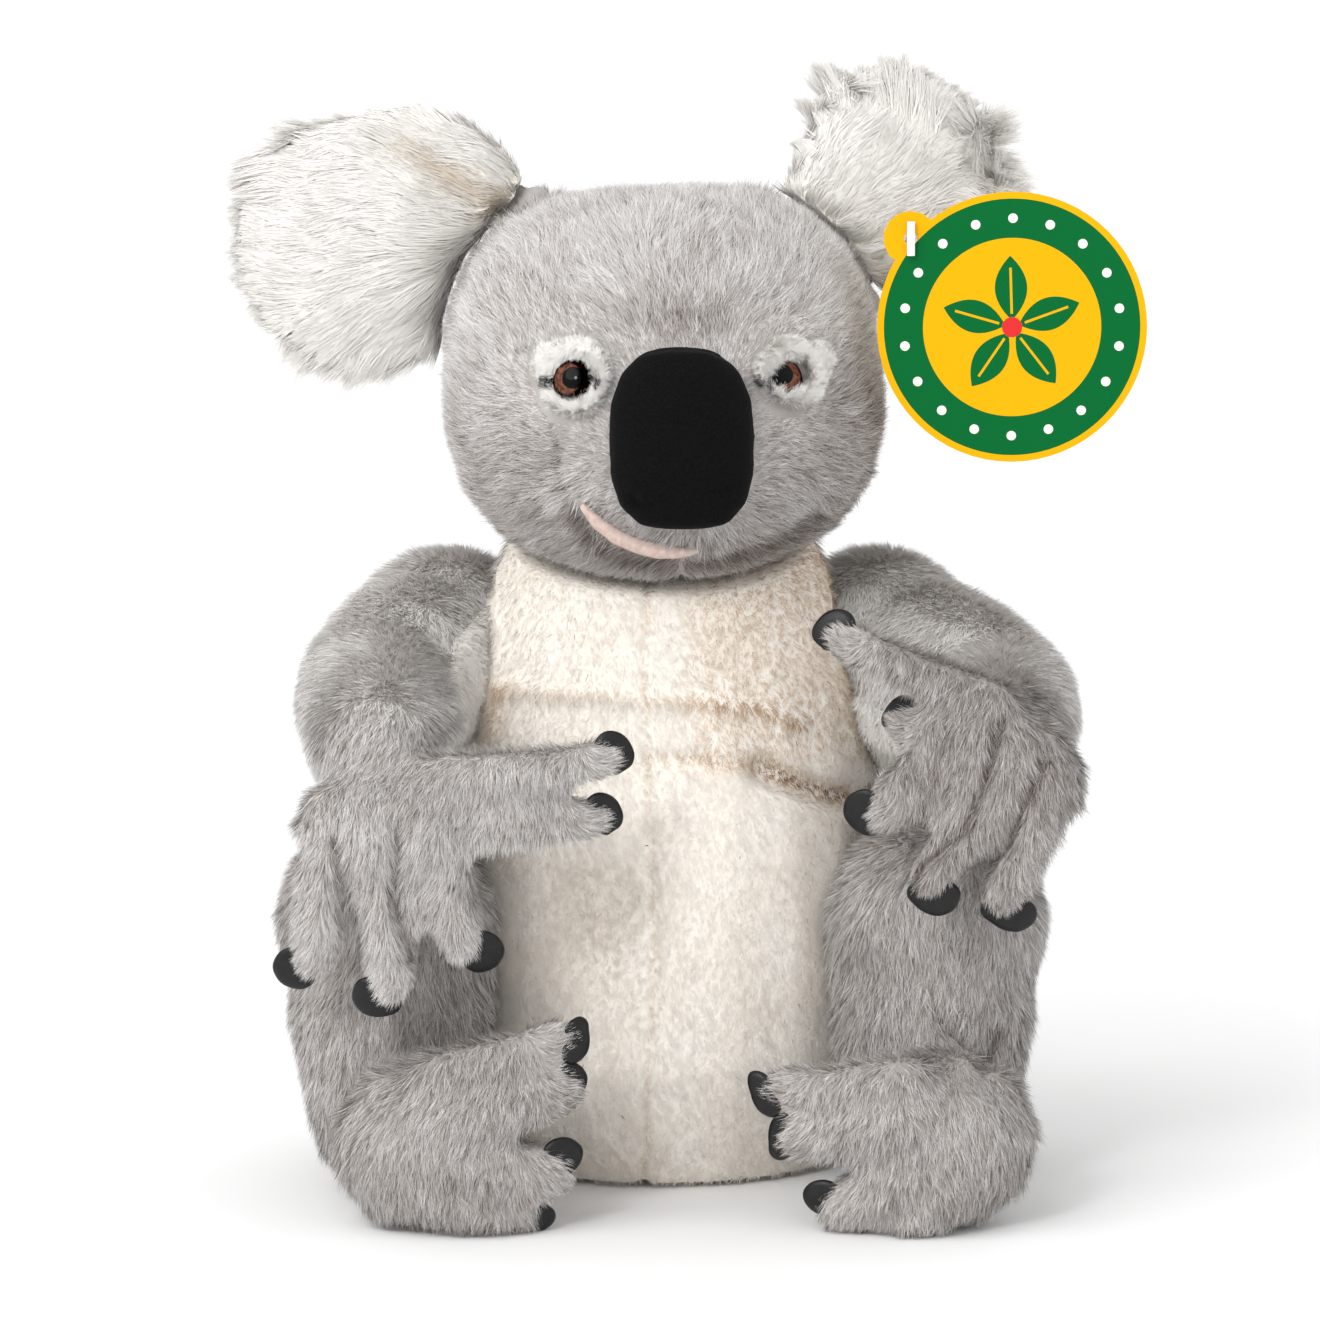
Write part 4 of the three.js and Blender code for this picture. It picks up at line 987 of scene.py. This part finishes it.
print("face")
noseLook = {
    "voxel": 1.0, "soften": 16, "swell": 0.6,
    "brow": 2.5, "jowl": 3.0, "most": 0.985,            # above 2 makes the upper or lower half squarer
    "seam": [(640, 353), (670, 348), (705, 349), (726, 357)],
    "nostrils": [[(632, 498), (640, 506), (655, 506)], [(712, 492), (722, 494), (732, 486)]],
}
velour = Finish("black velour", Roughness=0.9, Specular_IOR_Level=0.08,
                Sheen_Weight=0.02, Sheen_Roughness=0.5)
blacks = [(0.3, (0.0018, 0.0015, 0.0018)), (0.75, (0.0062, 0.0055, 0.006))]
velour.mottle((1800, 2), blacks, 2500, 0.5, 0.0004)
nose = softCopy("nose_cover", ["nose"], noseLook, velour.material)
places, _ = meshArrays(nose.data)
low, high = places.min(axis=0), places.max(axis=0)
height = (places[:, 2] - (low[2] + high[2]) / 2) / ((high[2] - low[2]) / 2)
height = np.clip(height, -noseLook["most"], noseLook["most"])
power = np.where(height > 0, noseLook["brow"], noseLook["jowl"])
wide = (1 - np.abs(height) ** power) ** (1 / power) / np.sqrt(1 - height ** 2)
places[:, 0] = noseMiddle[0] + (places[:, 0] - noseMiddle[0]) * wide
nose.data.vertices.foreach_set("co", places.ravel())
nose.data.update()
furrow(nose, noseLook["seam"], 0.8, 0.6)
for line in noseLook["nostrils"]:
    furrow(nose, line, 1.0, 1.0)
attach(nose, "head")
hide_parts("nose")

pink = Finish("pink velour", Roughness=0.9, Specular_IOR_Level=0.2, Sheen_Weight=0.05)
pink.mottle((500, 3), [(0.3, rgb(196, 172, 163)), (0.7, rgb(220, 198, 189))], 2500, 0.4, 0.0004)
lip = softCopy("lip_cover", ["lip"], {"voxel": 0.6, "soften": 4, "swell": 0.3}, pink.material)
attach(lip, "head")
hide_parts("lip")

print("eyes")
eyeLook = {
    "radius": 6.8, "dome": 5.0, "pupil": 0.46, "iris": 0.7, "frontVerts": 30,
    "pupilShift": {"left": 0.34, "right": -0.34},
    "nudge": {"left": (1.4, 0, 1.4), "right": (-0.3, 0, -0.4)},
    # each patch as the picture shows it: left, top, right, bottom
    "patch": {"left": (536, 341, 606, 414), "right": (760, 341, 830, 403)},
    "lids": (0.0115, 0.0085),                           # from the eye's middle, m
    "patchFrom": (5.0, 5.8), "lashes": (5.2, 8.2), "lashHeight": 0.0018,
}
glass = Finish("brown eye plastic", Roughness=0.3, Specular_IOR_Level=0, Coat_Roughness=0.03)
ring = glass.node("ShaderNodeAttribute", {"attribute_name": "ring"})[2]
# only the middle shines, as the rim would mirror the bright surroundings
shine = [(0, (0.4, 0.4, 0.4)), (0.5, (0.3, 0.3, 0.3)), (eyeLook["iris"], (0, 0, 0))]
glass.set("Coat Weight", glass.ramp(ring, shine))
pupilRing = glass.node("ShaderNodeAttribute", {"attribute_name": "pupilRing"})[2]
streak = glass.noise(900, 2)
brown = glass.ramp(streak, [(0.35, (0.05, 0.014, 0.008)), (0.7, (0.2, 0.075, 0.045))])
pupilStops = [(0, (0, 0, 0)), (eyeLook["pupil"], (0, 0, 0)), (eyeLook["pupil"] + 0.03, (1, 1, 1))]
rimStops = [(0, (1, 1, 1)), (eyeLook["iris"] - 0.08, (1, 1, 1)), (eyeLook["iris"], (0.02, 0.02, 0.02))]
pupil = glass.ramp(pupilRing, pupilStops)
rim = glass.ramp(ring, rimStops)
glass.set("Base Color", glass.blend(1.0, glass.blend(1.0, brown, pupil, "MULTIPLY"), rim, "MULTIPLY"))
lashStops = [(0, (6, 6, 7)), (0.5, (22, 20, 20)), (1, (70, 64, 62))]
lashPile = pileFinish("black lash", lashStops, (1, 1, 1), 0)
patchPile = dict(shortPile, strands=26000, tufts=350, length=4.2, width=0.3, rise=0.42, seed=51,
                 tones=(0.9, 0.95, 0.98))
lashStrands = dict(shortPile, strands=60000, tufts=300, length=2.6, width=0.35, rise=0.5, seed=52,
                   tones=(0.02, 0.1, 0.25))
patchLook = {"voxel": 0.6, "soften": 4, "swell": 0}
for side in sides:
    patch = softCopy(f"eye_patch_cover_{side}", [f"eye_patch_{side}"], patchLook, whiteCloth)
    places, _ = meshArrays(patch.data)
    spots = inPicture(places)
    x0, y0, x1, y1 = eyeLook["patch"][side]
    low, high = spots.min(axis=0), spots.max(axis=0)
    wanted = np.array((x0, y0)) + (spots - low) / (high - low) * np.array((x1 - x0, y1 - y0))
    moves = (wanted - spots) * view["pictureWidth"] / view["pixels"] * mm
    places[:, 0] += moves[:, 0]
    places[:, 2] -= moves[:, 1]
    patch.data.vertices.foreach_set("co", places.ravel())
    patch.data.update()
    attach(patch, "head")
    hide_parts(f"eye_patch_{side}")

    places, _ = meshArrays(nodes[f"eye_{side}"].data)
    back = np.array(centreOf(f"eye_washer_{side}"))
    facing = unit((places.mean(axis=0) - back)[None])[0]
    front = places[(places @ facing).argsort()[-eyeLook["frontVerts"]:]].mean(axis=0)
    facing = unit((front - back)[None])[0]
    top = (places @ facing).max()
    middle = back + facing * (top - back @ facing - eyeLook["dome"] * mm)
    middle = middle + np.array(eyeLook["nudge"][side]) * mm
    radius = eyeLook["radius"] * mm
    ball = bmesh.new()
    bmesh.ops.create_uvsphere(ball, u_segments=48, v_segments=24, radius=1)
    bmesh.ops.scale(ball, verts=ball.verts[:], vec=(radius, radius, eyeLook["dome"] * mm))
    turn = Vector(facing).to_track_quat("Z", "Y").to_matrix()
    across = np.array(turn.inverted() @ Vector((1, 0, 0)))
    shift = eyeLook["pupilShift"][side]
    ringLayer = ball.verts.layers.float.new("ring")
    pupilLayer = ball.verts.layers.float.new("pupilRing")
    for vert in ball.verts:
        spot = np.array(vert.co)[:2] / radius
        vert[ringLayer] = math.hypot(*spot) if vert.co.z > 0 else 1
        vert[pupilLayer] = math.hypot(*(spot - across[:2] * shift)) if vert.co.z > 0 else 1
    bmesh.ops.rotate(ball, verts=ball.verts[:], cent=(0, 0, 0), matrix=turn)
    bmesh.ops.translate(ball, verts=ball.verts[:], vec=Vector(middle))
    eye = newPiece(f"eye_dome_{side}", ball, glass.material)
    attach(eye, "head")
    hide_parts(f"eye_{side}")

    def aroundEye(points, outs, middle=middle):
        # lids lean over the eye from above and below, the rest lies away from the nose
        apart = points - middle
        forward = np.full(len(points), -0.002)
        lids = np.stack((apart[:, 0] * 0.6, forward, -apart[:, 2]), axis=1)
        near = smoothStep(*eyeLook["lids"], np.linalg.norm(apart, axis=1))[:, None]
        return unit(lids) * near + unit(headComb(points, outs) * 0.5 + unit(apart) * 0.5) * (1 - near)

    def lidReach(points, outs, middle=middle):
        # the lids close the eye to an almond, so they are longest above and below it
        apart = points - middle
        gaps = np.linalg.norm(apart, axis=1)
        upright = np.abs(apart[:, 2]) / np.maximum(gaps, 1e-6)
        return 0.65 + 0.35 * smoothStep(*eyeLook["lids"], gaps) * smoothStep(0.3, 0.9, upright)

    def besideEye(points, middle=middle, facing=facing):
        # how far each point is from the eye's middle as the eye faces, in mm
        apart = points - middle
        return np.linalg.norm(apart - facing * (apart @ facing)[:, None], axis=1) / mm

    def cornerKeep(points, outs, middle=middle):
        # the dark lash hair in the eye's two corners, partly real lashes and partly painted shade in the
        # corners
        gaps = besideEye(points)
        least, most = eyeLook["lashes"]
        return (np.abs(points[:, 2] - middle[2]) < eyeLook["lashHeight"]) & (gaps > least) & (gaps < most)

    growPile(f"eye_patch_pile_{side}", patch, patchPile, aroundEye, silkPile, "head",
             keep=lambda p, n: smoothStep(*eyeLook["patchFrom"], besideEye(p)), reach=lidReach)
    growPile(f"eye_lash_{side}", patch, lashStrands, aroundEye, lashPile, "head",
             keep=cornerKeep)

print("claws")
clawLook = {
    "thick": 3.0, "around": 48, "levels": 8, "round": 0.45, "lesser": 0.35, "evened": 3, "point": 0.02,
    "swell": {"hand": 1.04, "foot": 0.9}, "forward": {"hand": 1.6, "foot": 3.0},
}
# the way in the picture, right and down, on which each claw shows most
clawWays = {
    "hand_left": {"finger_1": (1, 0), "finger_2": (-0.8, 0.6), "finger_3": (-1, 0.1),
                  "thumb_1": (0, -1), "thumb_2": (0, -1)},
    "hand_right": {"finger_1": (-1, -0.2), "finger_2": (0.3, 1), "finger_3": (0.2, 1),
                   "thumb_1": (0.2, -1), "thumb_2": (0, -1)},
    "foot_left": {"toe_1": (-0.4, -1), "toe_2": (-0.4, -1), "toe_3": (-0.3, 1), "big_toe": (1, 0.6)},
    "foot_right": {"toe_1": (-0.8, -0.6), "toe_2": (0.2, -1), "toe_3": (0.4, 1), "big_toe": (-1, 0.7)},
}
vinyl = Finish("black coated cloth", Roughness=0.4, Specular_IOR_Level=0.35)
blacks = [(0.3, (0.003, 0.003, 0.003)), (0.8, (0.010, 0.010, 0.0105))]
vinyl.mottle((300, 3), blacks, 1500, 0.25, 0.0003)


def hull(spots):
    # the convex outline of flat points, counterclockwise
    rows = sorted(map(tuple, spots))
    chains = []
    for order in (rows, rows[::-1]):
        chain = []
        for spot in order:
            while len(chain) > 1 and ((chain[-1][0] - chain[-2][0]) * (spot[1] - chain[-2][1])
                                      - (chain[-1][1] - chain[-2][1]) * (spot[0] - chain[-2][0])) <= 0:
                chain.pop()
            chain.append(spot)
        chains += chain[:-1]
    return np.array(chains)


def clawReaches(outline, centre):
    # how far a flat outline reaches from its centre, all the way round, a little evened out
    around, evened = clawLook["around"], clawLook["evened"]
    reaches = []
    for k in range(around):
        angle = 2 * math.pi * k / around
        way = np.array((math.cos(angle), math.sin(angle)))
        side = np.array((-way[1], way[0]))
        best = 0
        for start, end in zip(outline - centre, np.roll(outline, -1, axis=0) - centre):
            a, b = start @ side, end @ side
            if a * b <= 0 and a != b:
                best = max(best, (start + (end - start) * (a / (a - b))) @ way)
        reaches.append(best)
    reaches = np.array(reaches)
    return sum(np.roll(reaches, k) for k in range(-evened, evened + 1)) / (2 * evened + 1)


def lensForm(middle, axes, centre, reaches):
    # rings of verts from the lens's back to its front, each one the outline made smaller
    around, levels = clawLook["around"], clawLook["levels"]
    form = bmesh.new()
    rows = []
    for level in range(levels + 1):
        tilt = math.pi * (level / levels - 0.5)
        share = max(math.cos(tilt), clawLook["point"]) ** clawLook["round"]
        height = math.sin(tilt) * clawLook["thick"] / 2 * mm
        row = []
        for k, reach in enumerate(reaches):
            angle = 2 * math.pi * k / around
            flat = centre + np.array((math.cos(angle), math.sin(angle))) * reach * share
            row.append(form.verts.new(middle + axes[0] * flat[0] + axes[1] * flat[1] + axes[2] * height))
        rows.append(row)
    for lower, upper in zip(rows, rows[1:]):
        for k in range(around):
            form.faces.new((lower[k], lower[k - 1], upper[k - 1], upper[k]))
    form.faces.new(rows[0])
    form.faces.new(rows[-1])
    bmesh.ops.recalc_face_normals(form, faces=form.faces[:])
    return form


def clawPiece(node, shown, swell, forward):
    # a lens whose outline is the solid claw's own, rounded off, and smaller on the side that isn't shown
    form = bmesh.new()
    form.from_mesh(nodes[node].data)
    bmesh.ops.remove_doubles(form, verts=form.verts[:], dist=0.00001)
    places = np.array([tuple(vert.co) for vert in form.verts])
    form.free()
    middle = places.mean(axis=0)
    _, _, axes = np.linalg.svd(places - middle, full_matrices=False)
    if np.linalg.det(axes) < 0:
        axes[2] = -axes[2]
    outline = hull((places - middle) @ axes[:2].T)
    centre = (outline.min(axis=0) + outline.max(axis=0)) / 2
    reaches = clawReaches(outline, centre) * swell
    wanted = axes[:2] @ np.array((shown[0], 0, -shown[1]))
    angles = np.arange(len(reaches)) * 2 * math.pi / len(reaches) - math.atan2(wanted[1], wanted[0])
    reaches *= clawLook["lesser"] + (1 - clawLook["lesser"]) * smoothStep(-0.9, 0.5, np.cos(angles))
    middle = middle + axes[2] * math.copysign(forward * mm, -axes[2][1])
    return newPiece(f"{node}_cover", lensForm(middle, axes, centre, reaches), vinyl.material)


for side in sides:
    for kind, facts in limbKinds.items():
        for digit in facts["digits"]:
            end = facts["claw"]
            node = f"{end}_{side}_claw_{digit}"
            shown = clawWays[f"{end}_{side}"][digit]
            claw = clawPiece(node, shown, clawLook["swell"][end], clawLook["forward"][end])
            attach(claw, f"{kind}_{side}")
            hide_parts(node)

print("tag")
# half the card's width in mm, the rest as shares of it
tagLook = {
    "size": 39.5, "ring": (0.95, 0.66), "inner": 0.6, "middle": 0.075,
    "dots": 18, "dotsAt": 0.805, "dot": 0.035, "dotSpacing": 0.28,
    "petals": 5, "turn": 0.35, "root": 0.06, "tip": 0.52,
    "bulge": (0.03, 0.12, 2.1), "vein": (0.009, 0.1, 0.08),
}
tagLow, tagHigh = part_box("hang_tag")
tagNode = nodes["hang_tag"]
# the card's middle is half a width from its far edges, the tab being on the near side
tagHalf = tagLook["size"] * mm
tagMiddle = Vector((tagHigh[0] - tagHalf, (tagLow[1] + tagHigh[1]) / 2, tagLow[2] + tagHalf))
card = Finish("printed card", Roughness=0.6, Specular_IOR_Level=0.08)
spot = card.node("ShaderNodeVectorMath", {"operation": "SUBTRACT"}, {0: card.place(), 1: tagMiddle})[0]
across, _, up = card.node("ShaderNodeSeparateXYZ", {}, {0: spot})
across = across / tagHalf
up = up / tagHalf
radius = (across * across + up * up).sqrt()
yellow, green, red, cream = rgba(240, 172, 4), rgba(0, 100, 46), rgba(214, 48, 50), rgba(250, 244, 224)
inRing = (radius < tagLook["ring"][0]) * (radius > tagLook["ring"][1])
colour = card.blend(inRing, yellow, green)
angle = card.node("ShaderNodeMath", {"operation": "ARCTAN2"}, {0: up, 1: across})[0]
turns = angle * (tagLook["dots"] / (2 * math.pi))
aside = (card.node("ShaderNodeMath", {"operation": "FRACT"}, {0: turns})[0] - 0.5) * tagLook["dotSpacing"]
apart = radius - tagLook["dotsAt"]
dot = (aside * aside + apart * apart).sqrt() < tagLook["dot"]
colour = card.blend(dot * (radius > 0.5), colour, cream)
for petal in range(tagLook["petals"]):
    lean = tagLook["turn"] + 2 * math.pi * petal / tagLook["petals"]
    ahead = across * math.cos(lean) + up * math.sin(lean)
    aside = (up * math.cos(lean) - across * math.sin(lean)).size()
    further, half, bend = tagLook["bulge"]
    apart = ahead - (tagLook["tip"] / 2 + further)
    leaf = (aside < half - apart * apart * bend) * (ahead > tagLook["root"])
    half, least, short = tagLook["vein"]
    vein = (aside < half) * (ahead > least) * (ahead < tagLook["tip"] - short)
    colour = card.blend(leaf * (radius < tagLook["inner"]), colour, green)
    colour = card.blend(vein, colour, yellow)
colour = card.blend(radius < tagLook["middle"], colour, red)
card.set("Base Color", colour)
card.bump(card.noise(220, 2), 0.06, 0.0003)
tagNode.data.materials.clear()
tagNode.data.materials.append(card.material)

clear = Finish("fastener plastic", Roughness=0.3, Specular_IOR_Level=0.5)
clear.mottle((200, 2), [(0.3, (0.8, 0.8, 0.78)), (0.7, (0.9, 0.9, 0.88))], 900, 0.05, 0.0002)
plain = Finish("washer plastic", Roughness=0.5)
plain.mottle((150, 2), [(0.3, (0.75, 0.75, 0.73)), (0.7, (0.86, 0.86, 0.84))], 700, 0.1, 0.0002)
for nodeName, finish in (("tag_fastener", clear), ("eye_washer_left", plain), ("eye_washer_right", plain)):
    nodes[nodeName].data.materials.clear()
    nodes[nodeName].data.materials.append(finish.material)

print("stage")
stage = {
    "half": 60, "sweep": [(-45, 0), (40, 0), (46, 1), (49, 4), (50, 10)], "world": 0.93,
    "sun": 1.05, "sunSoftness": 50, "sunFrom": (-0.85, -0.9, 1.1),
    "lamp": 5, "lampSize": 0.3, "lampAt": (-0.5, -1.3, 0.9),
}
floor = bmesh.new()
rows = [[floor.verts.new((side * stage["half"], y, z)) for side in (-1, 1)] for y, z in stage["sweep"]]
for near, far in zip(rows, rows[1:]):
    floor.faces.new((near[0], near[1], far[1], far[0]))
floorFinish = Finish("pale floor", Roughness=0.95, Specular_IOR_Level=0.1)
floorFinish.set("Base Color", (0.94, 0.94, 0.94, 1))
floorPiece = newPiece("floor", floor, floorFinish.material, smooth=False)
floorPiece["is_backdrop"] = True

scene.view_settings.view_transform = "Standard"
world = bpy.data.worlds.new("studio")
scene.world = world
world.use_nodes = True
sky = world.node_tree.nodes["Background"]
sky.inputs[0].default_value = (1, 1, 1, 1)
sky.inputs[1].default_value = stage["world"]
sun = bpy.data.lights.new("key", "SUN")
sun.energy = stage["sun"]
sun.angle = math.radians(stage["sunSoftness"])
holder = bpy.data.objects.new("key", sun)
holder.rotation_euler = (-Vector(stage["sunFrom"])).to_track_quat("-Z", "Y").to_euler()
scene.collection.objects.link(holder)
lamp = bpy.data.lights.new("catchlight", "AREA")
lamp.shape = "DISK"
lamp.size = stage["lampSize"]
lamp.energy = stage["lamp"]
holder = bpy.data.objects.new("catchlight", lamp)
holder.location = stage["lampAt"]
holder.rotation_euler = (aim - holder.location).to_track_quat("-Z", "Y").to_euler()
scene.collection.objects.link(holder)

sizes = {"cad": [list(corner) for corner in cadBox], "look": [list(corner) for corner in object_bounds()]}
cadSize, lookSize = (np.subtract(high, low) for low, high in (sizes["cad"], sizes["look"]))
print("grown by, mm", (lookSize - cadSize).round(4) / mm)
